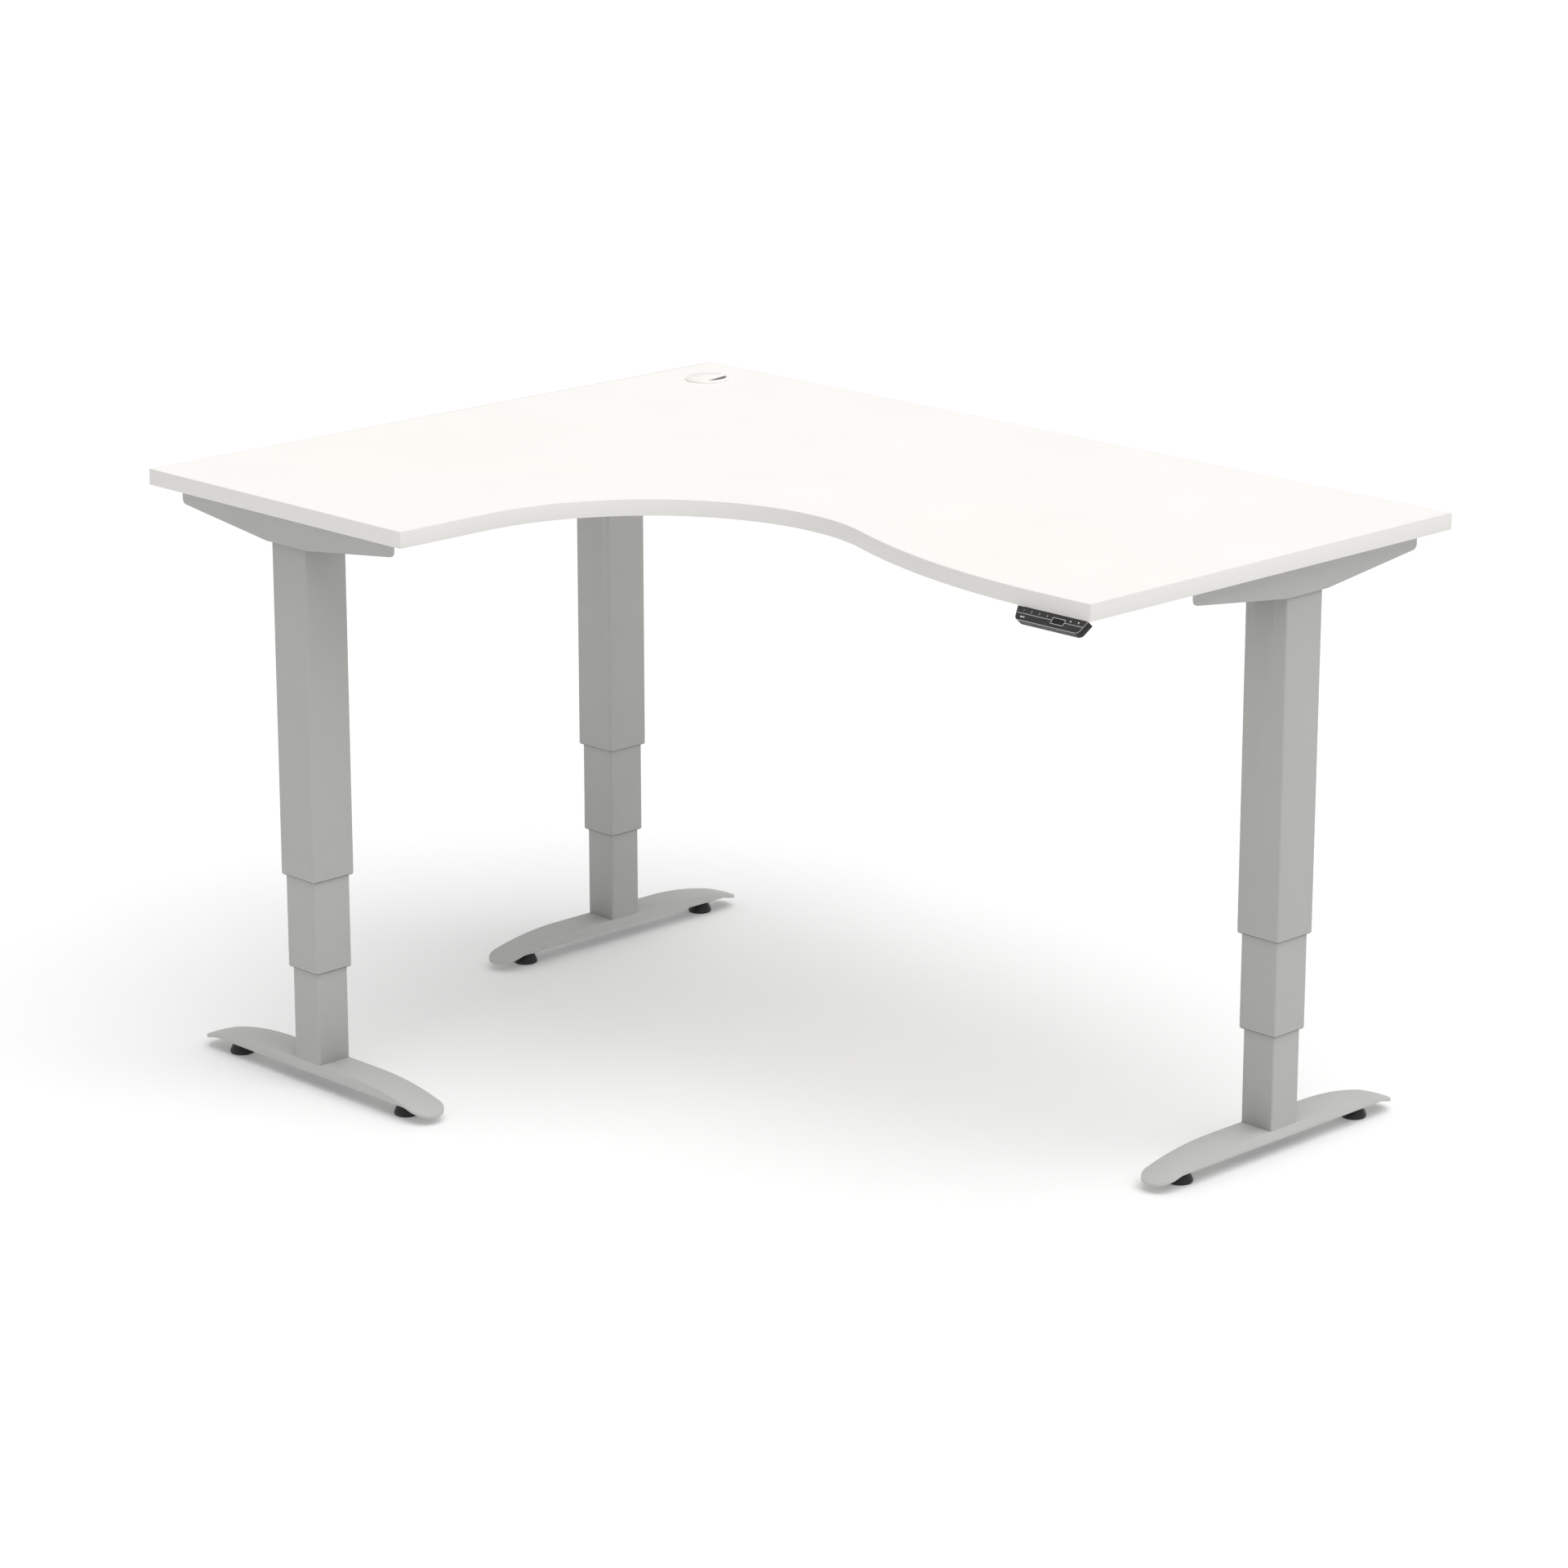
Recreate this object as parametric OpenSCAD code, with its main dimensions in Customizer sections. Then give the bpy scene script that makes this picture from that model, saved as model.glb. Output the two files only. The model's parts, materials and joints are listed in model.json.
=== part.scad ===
// Height adjustable corner standing desk on three telescopic legs.
// +X runs along the long side, +Y towards the wall and +Z up. The origin is on the floor,
// under the middle of the rectangle that the desktop is cut from.

/* [Desktop] */
// Length of the desktop along the wall
desk_length = 1600; // [1560:1:1760]
// Depth of the left wing
desk_depth = 1200; // [1160:1:1300]
// Width of the left wing
wing_width = 600; // [560:1:640]
// Depth of the right end
end_depth = 800; // [780:1:820]
// Thickness of the board
board_thickness = 25; // [22:1:30]
// Thickness of the edge band
band = 2; // [1:0.5:3]
// Radius of the hollow curve beside the wing
hollow_radius = 340; // [320:1:360]
// Radius of the full curve towards the right end
full_radius = 1150; // [1100:1:1200]
// Straight length of the wing's edge before the curve
wing_straight = 170; // [150:1:190]

/* [Heights] */
// Height of the desktop's top as built
desk_height = 946; // [900:1:1000]
// Lowest height of the desktop's top
lowest_height = 650; // [645:1:660]
// Highest height of the desktop's top
highest_height = 1300; // [1250:1:1300]

/* [Columns] */
// Width of the outer tube
outer_width = 80; // [80:0.5:82]
// Width of the middle tube
middle_width = 70; // [69:0.5:71]
// Width of the inner tube
inner_width = 60; // [59:0.5:61]
// Wall of the outer tube
outer_wall = 2.5; // [2:0.1:2.6]
// Wall of the middle and inner tubes
slim_wall = 2; // [1.5:0.1:2.2]
// Distance of a column's centre from the nearest edge
leg_inset = 70; // [65:1:80]
// Distance of a column's centre from the nearest corner, along its foot
leg_setback = 300; // [290:1:320]
// Length of the inner tube
inner_length = 478; // [440:1:480]

/* [Feet] */
// Length of a foot
foot_length = 548; // [520:1:580]
// Width of a foot
foot_width = 60; // [60:1:64]
// Height of the foot's flat top above the floor
foot_top = 41.5; // [40:0.5:44]
// Height of the foot's straight lower edge above the floor
foot_bottom = 24; // [22:0.5:25]
// Half length of the flat part of the foot's top
foot_flat = 110; // [95:1:120]
// Radius of the foot's falling ends
foot_arc = 550; // [520:1:700]
// Distance of a levelling glide from the column's centre
glide_offset = 202; // [190:1:210]
// Radius of a levelling glide
glide_radius = 19.5; // [18:0.5:21]

/* [Top brackets] */
// Half length of a bracket
bracket_reach = 251.5; // [245:0.5:260]
// Depth of a bracket at its column
bracket_depth = 50.5; // [48:0.5:54]
// Depth of a bracket at its ends
bracket_end_depth = 26.5; // [24:0.5:30]
// Half length of the deep part of a bracket
bracket_flat = 47; // [44:1:55]
// Thickness of the bracket's sheet
sheet = 3; // [2:0.5:3]

/* [Cable outlet] */
// Distance of the outlet from the left edge
outlet_from_left = 105; // [100:1:115]
// Distance of the outlet from the back edge
outlet_from_back = 107; // [100:1:112]
// Radius of the outlet's flange
outlet_flange = 37.5; // [37:0.5:40]
// Height of the outlet's flange above the desktop
outlet_rise = 4.5; // [4:0.5:6]

/* [Handset] */
// Width of the handset's face at the edge of the desktop
handset_width = 133; // [130:1:140]
// Visible length of the handset's sloping face
handset_drop = 21.8; // [20:0.1:24]
// Thickness of the handset
handset_thickness = 12; // [11.5:0.1:13]
// Slope of the handset's face below level, in degrees
handset_slope = 47.5; // [44:0.5:50]
// Distance of the handset's middle from the right end of the desktop
handset_from_end = 70; // [68:1:80]

/* [Hidden] */
$fn = 64;

FRAME_GREY = [0.64, 0.64, 0.62];
BOARD_WHITE = [0.97, 0.96, 0.94];
DARK_PLASTIC = [0.2, 0.2, 0.2];
BLACK_PLASTIC = [0.05, 0.05, 0.05];
ZINC = [0.72, 0.73, 0.74];
STEEL = [0.55, 0.56, 0.58];
NUT_PLASTIC = [0.88, 0.87, 0.8];

// Heights of the fixed levels
under_z = desk_height - board_thickness;
plate_z = under_z - sheet;
lift_down = desk_height - lowest_height;
head_plate = 5;
tube_top = plate_z - head_plate;
gearbox_height = 46;
gearbox_z = tube_top - gearbox_height;

// Telescopic tubes: each leaves a small gap above the foot at the lowest height
outer_gap = 5.5;
middle_gap = 3.5;
outer_z = foot_top + outer_gap + lift_down;
middle_z = foot_top + middle_gap + lift_down / 2;
middle_top = gearbox_z - 3 - lift_down / 2;
inner_top = foot_top + inner_length;
tube_corner = 3;
running_gap = 0.2;
bush_length = 42;
bush_lip = 1;
nut_block = 22;
base_block = 15;
middle_inside = middle_width - 2 * slim_wall;
inner_inside = inner_width - 2 * slim_wall;
outer_inside = outer_width - 2 * outer_wall;

// Spindles: a drive screw on the gearbox turns a hollow screw that hangs in the middle tube
drive_radius = 7;
hollow_radius_out = 11;
hollow_bore = 7.1;
screw_clearance = 0.05;
drive_length = 527;
drive_entry = 20;
hollow_length = 480;
collar_radius = 15;
collar_height = 6;
hollow_top = middle_top - nut_block - 0.5;

// Feet
foot_skin = 4;
foot_wall = 3;
foot_plate_size = [160, 52, 5];
foot_bolt_spacing = 36;
bolt_m8 = 4;
glide_bar = [18, 5.8];
glide_bar_z = 22;
glide_pad_top = 20;
glide_stud_top = 27.4;
hole_gap = 0.1;

// An arc runs this far past a tangent, so that it crosses its neighbour at one definite point
arc_lap = 0.02;

// Legs: name, X, Y, direction of the foot and the bracket, reach of the bracket's second half
left_x = -desk_length / 2 + leg_setback;
left_y = -desk_depth / 2 + leg_inset;
back_y = desk_depth / 2 - leg_setback;
side_x = desk_length / 2 - leg_inset;
corner_reach = 130;
LEGS = [
    [left_x, left_y, 0, bracket_reach],
    [side_x, back_y, 90, bracket_reach],
    [-side_x, back_y, 90, corner_reach]
];
LEFT = 0;
RIGHT = 1;
CORNER = 2;

// Brackets
bracket_width = outer_width + 8;
bracket_corner = 9;
inner_end_depth = 12;
inner_corner = 5;
motor_radius = 18;
motor_length = 70;
motor_z = gearbox_z + 27;
motor_start = outer_width / 2 + 2;
gearbox_width = 70;
head_bolt_offset = 30;
wood_screw_side = 28;

// Rails
rail_width = 60;
rail_height = 30;
rail_wall = 2;
rail_offset = 120;
rail_z = under_z - rail_height;
rail_y = back_y - rail_offset;
end_plate_width = 90;
rail_bolt_spacing = 74;
wing_rail_x = left_x - 130;
bolt_m6 = 3;

// Cable outlet
outlet_x = -desk_length / 2 + outlet_from_left;
outlet_y = desk_depth / 2 - outlet_from_back;
outlet_hole = 34;
sleeve_bore = 31.8;
cap_radius = 33.3;
cap_seat = 2.2;
slot_inner = 18.5;
slot_turn = 10;

// Control box and its sockets
box_size = [240, 90, 36];
box_y = 45;
box_wall = 2.5;
socket_z = under_z - box_size[2] / 2;
left_socket_y = 110;
corner_socket_y = 124;
right_socket_y = 124;
handset_socket_y = 94;
inlet_y = 72;
inlet_size = [16, 28, 22];
inlet_pin = [9, 2, 4];

// Handset: local x runs along the edge, y up the face and z out of the face
handset_x = desk_length / 2 - handset_from_end;
front_y = desk_depth / 2 - end_depth;
face_thickness = 1.6;
face_taper = 0.32;
face_corner = 9;
neck_half = 52;
flange_back = 40;
gland_start = 2.5;
gland_end = 30;
gland_z = under_z - 7.5;
key_size = [11, 6.4];
key_gap = 0.1;
key_thickness = 2.6;
key_row = -5.5;
KEY_X = [-51.4, -36.7, -21.8, -7, 37, 51.6];
display_x = 16;

// Leads: corner points of each route, rounded by the sweep
lead_radius = 3;
handset_lead_radius = 2;
lead_z = under_z - 6;
lead_low = under_z - 37;
lead_bend = 24;
left_lead_x = -578;
near_lane = rail_y - 52;
far_lane = rail_y - 42;
motor_end = motor_start + motor_length;
LEFT_ROUTE = [
    [left_x - motor_end, left_y, motor_z],
    [-650, left_y, motor_z],
    [-650, -470, lead_low],
    [left_lead_x, -440, lead_low],
    [left_lead_x, -390, lead_z],
    [left_lead_x, near_lane, lead_z],
    [-190, near_lane, lead_z],
    [-160, left_socket_y, socket_z],
    [-box_size[0] / 2, left_socket_y, socket_z]
];
CORNER_ROUTE = [
    [-side_x, back_y - motor_end, motor_z],
    [-side_x, 150, motor_z],
    [-720, far_lane, lead_low],
    [-590, far_lane, lead_low],
    [-550, far_lane, lead_z],
    [-200, far_lane, lead_z],
    [-160, corner_socket_y, socket_z],
    [-box_size[0] / 2, corner_socket_y, socket_z]
];
RIGHT_ROUTE = [
    [side_x, back_y - motor_end, motor_z],
    [side_x, 150, motor_z],
    [720, far_lane, lead_low],
    [640, far_lane, lead_low],
    [600, far_lane, lead_z],
    [200, far_lane, lead_z],
    [160, right_socket_y, socket_z],
    [box_size[0] / 2, right_socket_y, socket_z]
];
HANDSET_ROUTE = [
    [handset_x, front_y + gland_end, gland_z],
    [handset_x, -60, gland_z],
    [690, -60, under_z - 4],
    [250, -60, under_z - 4],
    [250, 70, under_z - 4],
    [160, handset_socket_y, socket_z],
    [box_size[0] / 2, handset_socket_y, socket_z]
];
// Clips: position, direction of the lead in degrees, lead radius, drop of the lead's centre
CLIPS = [
    [left_lead_x, -250, 90, lead_radius, 6],
    [left_lead_x, -60, 90, lead_radius, 6],
    [-480, near_lane, 0, lead_radius, 6],
    [-330, near_lane, 0, lead_radius, 6],
    [-480, far_lane, 0, lead_radius, 6],
    [-330, far_lane, 0, lead_radius, 6],
    [500, far_lane, 0, lead_radius, 6],
    [320, far_lane, 0, lead_radius, 6],
    [620, -60, 0, handset_lead_radius, 4],
    [420, -60, 0, handset_lead_radius, 4],
    [250, 0, 90, handset_lead_radius, 4]
];

// ---- Shared shapes ----

module rounded_rect(width, depth, radius) {
    square([width - 2 * radius, depth], center = true);
    square([width, depth - 2 * radius], center = true);
    for (side_x = [-1, 1], side_y = [-1, 1]) {
        translate([side_x * (width / 2 - radius), side_y * (depth / 2 - radius)]) circle(radius);
    }
}

module square_ring(outside, inside, length) {
    linear_extrude(length) difference() {
        rounded_rect(outside, outside, tube_corner);
        rounded_rect(inside, inside, tube_corner - 1);
    }
}

module block_with_bore(width, height, bore) {
    difference() {
        linear_extrude(height) rounded_rect(width, width, tube_corner - 1);
        translate([0, 0, -1]) cylinder(h = height + 2, r = bore);
    }
}

module at_leg(leg) {
    translate([LEGS[leg][0], LEGS[leg][1], 0]) rotate([0, 0, LEGS[leg][2]]) children();
}

module pan_screw(shank, length, head, head_height) {
    cylinder(h = length, r = shank);
    translate([0, 0, -head_height]) cylinder(h = head_height, r = head);
}

// ---- Feet ----

// Side view of everything under a curve that lies `drop` below the foot's top
module under_foot_curve(drop) {
    flat = foot_flat;
    translate([-flat, 0]) square([2 * flat, foot_top - drop]);
    for (side = [0, 1]) mirror([side, 0]) intersection() {
        translate([flat, foot_top - foot_arc]) circle(foot_arc - drop, $fn = 256);
        translate([flat - 0.01, 0]) square([foot_length / 2 - flat + 1, foot_top]);
    }
}

module foot_plan(inset) {
    radius = foot_width / 2;
    length = foot_length - 2 * radius;
    square([length, 2 * (radius - inset)], center = true);
    for (side = [-1, 1]) translate([side * length / 2, 0]) circle(radius - inset);
}

module foot_profile_solid(drop) {
    rotate([90, 0, 0]) translate([0, 0, -foot_width]) linear_extrude(2 * foot_width) under_foot_curve(drop);
}

module foot() {
    bar = glide_bar;
    color(FRAME_GREY) difference() {
        intersection() {
            linear_extrude(foot_top + 1) foot_plan(0);
            foot_profile_solid(0);
        }
        // The skin's underside, open below the straight lower edge and between the side walls
        intersection() {
            foot_profile_solid(foot_skin);
            union() {
                translate([-foot_length, -foot_width, -1]) {
                    cube([2 * foot_length, 2 * foot_width, foot_bottom + 1]);
                }
                linear_extrude(foot_top) foot_plan(foot_wall);
            }
        }
        for (side = [-1, 1]) translate([side * foot_bolt_spacing / 2, 0, 0]) {
            cylinder(h = foot_top + 1, r = bolt_m8 + 0.3);
        }
    }
    // Welded cross bars that take the glides' threads
    for (side = [-1, 1]) color(STEEL) difference() {
        translate([side * glide_offset - bar[0] / 2, -foot_width / 2 + foot_wall, glide_bar_z]) {
            cube([bar[0], foot_width - 2 * foot_wall, bar[1]]);
        }
        translate([side * glide_offset, 0, glide_bar_z - 1]) {
            cylinder(h = bar[1] + 2, r = bolt_m8 + screw_clearance);
        }
    }
}

module left_foot() { at_leg(LEFT) foot(); }
module right_foot() { at_leg(RIGHT) foot(); }
module corner_foot() { at_leg(CORNER) foot(); }

module glide(side) {
    color(BLACK_PLASTIC) translate([side * glide_offset, 0, 0]) rotate_extrude() polygon([
        [0, 0], [glide_radius - 1, 0], [glide_radius, 1], [glide_radius, 4.5],
        [glide_radius - 6, glide_pad_top - 2], [glide_radius - 8, glide_pad_top], [bolt_m8, glide_pad_top],
        [bolt_m8, glide_stud_top], [0, glide_stud_top]
    ]);
}

module left_glide_near() { at_leg(LEFT) glide(1); }
module left_glide_far() { at_leg(LEFT) glide(-1); }
module right_glide_near() { at_leg(RIGHT) glide(-1); }
module right_glide_far() { at_leg(RIGHT) glide(1); }
module corner_glide_near() { at_leg(CORNER) glide(-1); }
module corner_glide_far() { at_leg(CORNER) glide(1); }

module foot_plates() {
    size = foot_plate_size;
    color(STEEL) for (leg = [LEFT, RIGHT, CORNER]) at_leg(leg) difference() {
        translate([-size[0] / 2, -size[1] / 2, foot_top - foot_skin - size[2]]) cube(size);
        for (side = [-1, 1]) translate([side * foot_bolt_spacing / 2, 0, 0]) {
            cylinder(h = foot_top, r = bolt_m8 + 0.3);
        }
    }
}

module foot_bolts() {
    seat = foot_top - foot_skin - foot_plate_size[2];
    color(ZINC) for (leg = [LEFT, RIGHT, CORNER], side = [-1, 1]) at_leg(leg) {
        translate([side * foot_bolt_spacing / 2, 0, seat]) pan_screw(bolt_m8, 22, 7, 4.5);
    }
}

// ---- Columns ----

module inner_tube() {
    color(FRAME_GREY) difference() {
        translate([0, 0, foot_top]) union() {
            square_ring(inner_width, inner_inside, inner_length);
            linear_extrude(base_block) rounded_rect(inner_inside, inner_inside, tube_corner - 1);
        }
        for (side = [-1, 1]) translate([side * foot_bolt_spacing / 2, 0, foot_top - 1]) {
            cylinder(h = base_block - 1, r = bolt_m8 + screw_clearance);
        }
    }
}

module left_inner_tube() { at_leg(LEFT) inner_tube(); }
module right_inner_tube() { at_leg(RIGHT) inner_tube(); }
module corner_inner_tube() { at_leg(CORNER) inner_tube(); }

module inner_guide_bushes() {
    color(NUT_PLASTIC) for (leg = [LEFT, RIGHT, CORNER]) at_leg(leg) {
        translate([0, 0, inner_top - bush_length]) {
            square_ring(middle_inside - 2 * running_gap, inner_width, bush_length);
        }
    }
}

module inner_screw_nuts() {
    color(NUT_PLASTIC) for (leg = [LEFT, RIGHT, CORNER]) at_leg(leg) {
        translate([0, 0, inner_top - nut_block]) {
            block_with_bore(inner_inside, nut_block, hollow_radius_out + screw_clearance);
        }
    }
}

module middle_tube() {
    color(FRAME_GREY) translate([0, 0, middle_z]) {
        square_ring(middle_width, middle_inside, middle_top - middle_z);
    }
}

module left_middle_tube() { at_leg(LEFT) middle_tube(); }
module right_middle_tube() { at_leg(RIGHT) middle_tube(); }
module corner_middle_tube() { at_leg(CORNER) middle_tube(); }

// The upper guide, with the nut that rides on the drive screw, and the lower guide
module middle_guides() {
    color(NUT_PLASTIC) {
        translate([0, 0, middle_top - bush_length]) {
            square_ring(outer_inside - 2 * running_gap, middle_width, bush_length);
        }
        translate([0, 0, middle_top - nut_block]) {
            block_with_bore(middle_inside, nut_block, drive_radius + screw_clearance);
        }
    }
    color(BLACK_PLASTIC) translate([0, 0, middle_z - bush_lip]) {
        square_ring(middle_inside, inner_width + 2 * running_gap, bush_length);
        square_ring(middle_width - 2, inner_width + 2 * running_gap, bush_lip);
    }
}

module left_middle_guides() { at_leg(LEFT) middle_guides(); }
module right_middle_guides() { at_leg(RIGHT) middle_guides(); }
module corner_middle_guides() { at_leg(CORNER) middle_guides(); }

module hollow_screw() {
    color(STEEL) difference() {
        union() {
            translate([0, 0, hollow_top - hollow_length]) cylinder(h = hollow_length, r = hollow_radius_out);
            translate([0, 0, hollow_top - collar_height]) cylinder(h = collar_height, r = collar_radius);
        }
        translate([0, 0, hollow_top - hollow_length - 1]) cylinder(h = hollow_length + 2, r = hollow_bore);
    }
}

module left_hollow_screw() { at_leg(LEFT) hollow_screw(); }
module right_hollow_screw() { at_leg(RIGHT) hollow_screw(); }
module corner_hollow_screw() { at_leg(CORNER) hollow_screw(); }

module drive_screw() {
    color(STEEL) translate([0, 0, gearbox_z + drive_entry - drive_length]) {
        cylinder(h = drive_length, r = drive_radius);
    }
}

module left_drive_screw() { at_leg(LEFT) drive_screw(); }
module right_drive_screw() { at_leg(RIGHT) drive_screw(); }
module corner_drive_screw() { at_leg(CORNER) drive_screw(); }

module outer_tube() {
    color(FRAME_GREY) {
        difference() {
            translate([0, 0, outer_z]) square_ring(outer_width, outer_inside, tube_top - outer_z);
            // Cut-out for the neck of the motor
            translate([-outer_width, -motor_radius - 1, motor_z - motor_radius - 1]) {
                cube([outer_width, 2 * motor_radius + 2, 2 * motor_radius + 2]);
            }
        }
        difference() {
            translate([0, 0, tube_top]) linear_extrude(head_plate) {
                rounded_rect(outer_width, outer_width, tube_corner);
            }
            for (side_x = [-1, 1], side_y = [-1, 1]) {
                translate([side_x * head_bolt_offset, side_y * head_bolt_offset, tube_top - 1]) {
                    cylinder(h = head_plate + 2, r = bolt_m6 + screw_clearance);
                }
            }
        }
    }
}

module left_outer_tube() { at_leg(LEFT) outer_tube(); }
module right_outer_tube() { at_leg(RIGHT) outer_tube(); }
module corner_outer_tube() { at_leg(CORNER) outer_tube(); }

module outer_guide_bushes() {
    color(BLACK_PLASTIC) for (leg = [LEFT, RIGHT, CORNER]) at_leg(leg) {
        translate([0, 0, outer_z - bush_lip]) {
            square_ring(outer_inside, middle_width + 2 * running_gap, bush_length);
            square_ring(outer_width - 2, middle_width + 2 * running_gap, bush_lip);
        }
    }
}

module gearboxes() {
    color(DARK_PLASTIC) for (leg = [LEFT, RIGHT, CORNER]) at_leg(leg) difference() {
        union() {
            translate([0, 0, gearbox_z]) linear_extrude(gearbox_height) {
                rounded_rect(gearbox_width, gearbox_width, tube_corner);
            }
            translate([-motor_start, 0, motor_z]) rotate([0, 90, 0]) {
                cylinder(h = motor_start - gearbox_width / 2 + 1, r = motor_radius - 2);
            }
        }
        translate([0, 0, gearbox_z - 1]) cylinder(h = drive_entry + 2, r = drive_radius + screw_clearance);
    }
}

module motors() {
    color(BLACK_PLASTIC) for (leg = [LEFT, RIGHT, CORNER]) at_leg(leg) {
        translate([-motor_end, 0, motor_z]) rotate([0, 90, 0]) cylinder(h = motor_length, r = motor_radius);
    }
}

// ---- Brackets ----

// One half of a side plate: its lower edge rises from the column to a rounded corner at the end
module side_plate_half(reach, end_depth, corner) {
    centre = [reach - corner, -end_depth + corner];
    knee = [bracket_flat, -bracket_depth];
    span = norm(centre - knee);
    slope = atan2(centre[1] - knee[1], centre[0] - knee[0]) - asin(corner / span);
    touch = centre + corner * [sin(slope), -cos(slope)];
    polygon([[0, 0], [0, -bracket_depth], knee, touch, centre, [reach, centre[1]], [reach, 0]]);
    translate(centre) circle(corner + arc_lap);
}

// The plate nearer the desktop's edge is deeper at its ends than the one under the board
module side_plate(leg, outward) {
    end_depth = outward ? bracket_end_depth : inner_end_depth;
    corner = outward ? bracket_corner : inner_corner;
    rotate([90, 0, 0]) linear_extrude(sheet) {
        mirror([1, 0]) side_plate_half(bracket_reach, end_depth, corner);
        side_plate_half(LEGS[leg][3], end_depth, corner);
    }
}

module bracket(leg) {
    second = LEGS[leg][3];
    half = bracket_width / 2;
    screw_rows = second > corner_reach ? [-215, -130, 130, 215] : [-215, -130, 100];
    color(FRAME_GREY) difference() {
        translate([0, 0, under_z]) union() {
            translate([-bracket_reach, -half, -sheet]) cube([bracket_reach + second, bracket_width, sheet]);
            for (side = [-1, 1]) translate([0, side * (half - sheet / 2) + sheet / 2, 0]) {
                side_plate(leg, side == (leg == CORNER ? 1 : -1));
            }
        }
        for (row = screw_rows, side = [-1, 1]) translate([row, side * wood_screw_side, plate_z - 1]) {
            cylinder(h = sheet + 2, r = 2.6);
        }
        for (side_x = [-1, 1], side_y = [-1, 1]) {
            translate([side_x * head_bolt_offset, side_y * head_bolt_offset, plate_z]) {
                cylinder(h = sheet, r1 = bolt_m6 + hole_gap, r2 = 6 + hole_gap);
            }
        }
        // Bolt holes for the rails, through one side plate
        if (leg != LEFT) translate([-rail_offset, leg == RIGHT ? half : -half, rail_z + rail_height / 2]) {
            rail_bolt_holes(sheet);
        }
        if (leg == LEFT) translate([wing_rail_x - left_x, half, rail_z + rail_height / 2]) {
            rail_bolt_holes(sheet);
        }
    }
}

// A pair of holes across a plate that stands square to local y
module rail_bolt_holes(depth) {
    for (side = [-1, 1]) translate([side * rail_bolt_spacing / 2, 0, 0]) rotate([90, 0, 0]) {
        translate([0, 0, -depth - 1]) cylinder(h = 2 * depth + 2, r = bolt_m6 + hole_gap);
    }
}

module left_bracket() { at_leg(LEFT) bracket(LEFT); }
module right_bracket() { at_leg(RIGHT) bracket(RIGHT); }
module corner_bracket() { at_leg(CORNER) bracket(CORNER); }

// Countersunk bolts that hold each head plate to its bracket
module column_bolts() {
    color(ZINC) for (leg = [LEFT, RIGHT, CORNER], side_x = [-1, 1], side_y = [-1, 1]) at_leg(leg) {
        translate([side_x * head_bolt_offset, side_y * head_bolt_offset, 0]) {
            translate([0, 0, tube_top]) cylinder(h = head_plate, r = bolt_m6);
            translate([0, 0, plate_z]) cylinder(h = sheet, r1 = bolt_m6, r2 = 6);
        }
    }
}

// ---- Rails ----

// A rectangular tube along local x with a bolted plate at each end
module rail(length) {
    inside = length - 2 * sheet;
    color(FRAME_GREY) translate([0, 0, rail_z]) {
        translate([sheet, 0, 0]) difference() {
            translate([0, -rail_width / 2, 0]) cube([inside, rail_width, rail_height]);
            translate([-1, -rail_width / 2 + rail_wall, rail_wall]) {
                cube([inside + 2, rail_width - 2 * rail_wall, rail_height - 2 * rail_wall]);
            }
        }
        for (start = [0, length - sheet]) translate([start, 0, 0]) difference() {
            translate([0, -end_plate_width / 2, 0]) cube([sheet, end_plate_width, rail_height]);
            translate([sheet / 2, 0, rail_height / 2]) rotate([0, 0, 90]) rail_bolt_holes(sheet);
        }
    }
}

rail_end = side_x - bracket_width / 2;
wing_rail_start = left_y + bracket_width / 2;
wing_rail_end = rail_y - rail_width / 2;

module long_rail() {
    difference() {
        translate([-rail_end, rail_y, 0]) rail(2 * rail_end);
        // Cross holes for the bolts of the wing rail
        translate([wing_rail_x, rail_y, rail_z + rail_height / 2]) rail_bolt_holes(rail_width);
    }
}

module wing_rail() {
    translate([wing_rail_x, wing_rail_start, 0]) rotate([0, 0, 90]) rail(wing_rail_end - wing_rail_start);
}

// A bolt along local y, its head at zero and its nut beyond the grip
module through_bolt(grip) {
    rotate([-90, 0, 0]) {
        translate([0, 0, -4]) cylinder(h = 4, r = 5);
        cylinder(h = grip + 5, r = bolt_m6);
        translate([0, 0, grip]) cylinder(h = 5, r = 5.6, $fn = 6);
    }
}

module rail_bolts() {
    bolt_z = rail_z + rail_height / 2;
    color(ZINC) for (side = [-1, 1]) {
        for (end = [-1, 1]) {
            translate([end * (rail_end - sheet), rail_y + side * rail_bolt_spacing / 2, bolt_z]) {
                rotate([0, 0, -90 * end]) through_bolt(2 * sheet);
            }
        }
        translate([wing_rail_x + side * rail_bolt_spacing / 2, wing_rail_start + sheet, bolt_z]) {
            rotate([0, 0, 180]) through_bolt(2 * sheet);
        }
        translate([wing_rail_x + side * rail_bolt_spacing / 2, wing_rail_end - sheet, bolt_z]) {
            through_bolt(rail_width + sheet);
        }
    }
}

// ---- Desktop ----

turn_y = -desk_depth / 2 + wing_straight;
hollow_centre = [-desk_length / 2 + wing_width + hollow_radius, turn_y];
full_centre_y = front_y + full_radius;
full_rise = full_centre_y - turn_y;
curve_span = hollow_radius + full_radius;
full_centre = [hollow_centre[0] + sqrt(curve_span * curve_span - full_rise * full_rise), full_centre_y];
to_full = (full_centre - hollow_centre) / curve_span;

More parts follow.
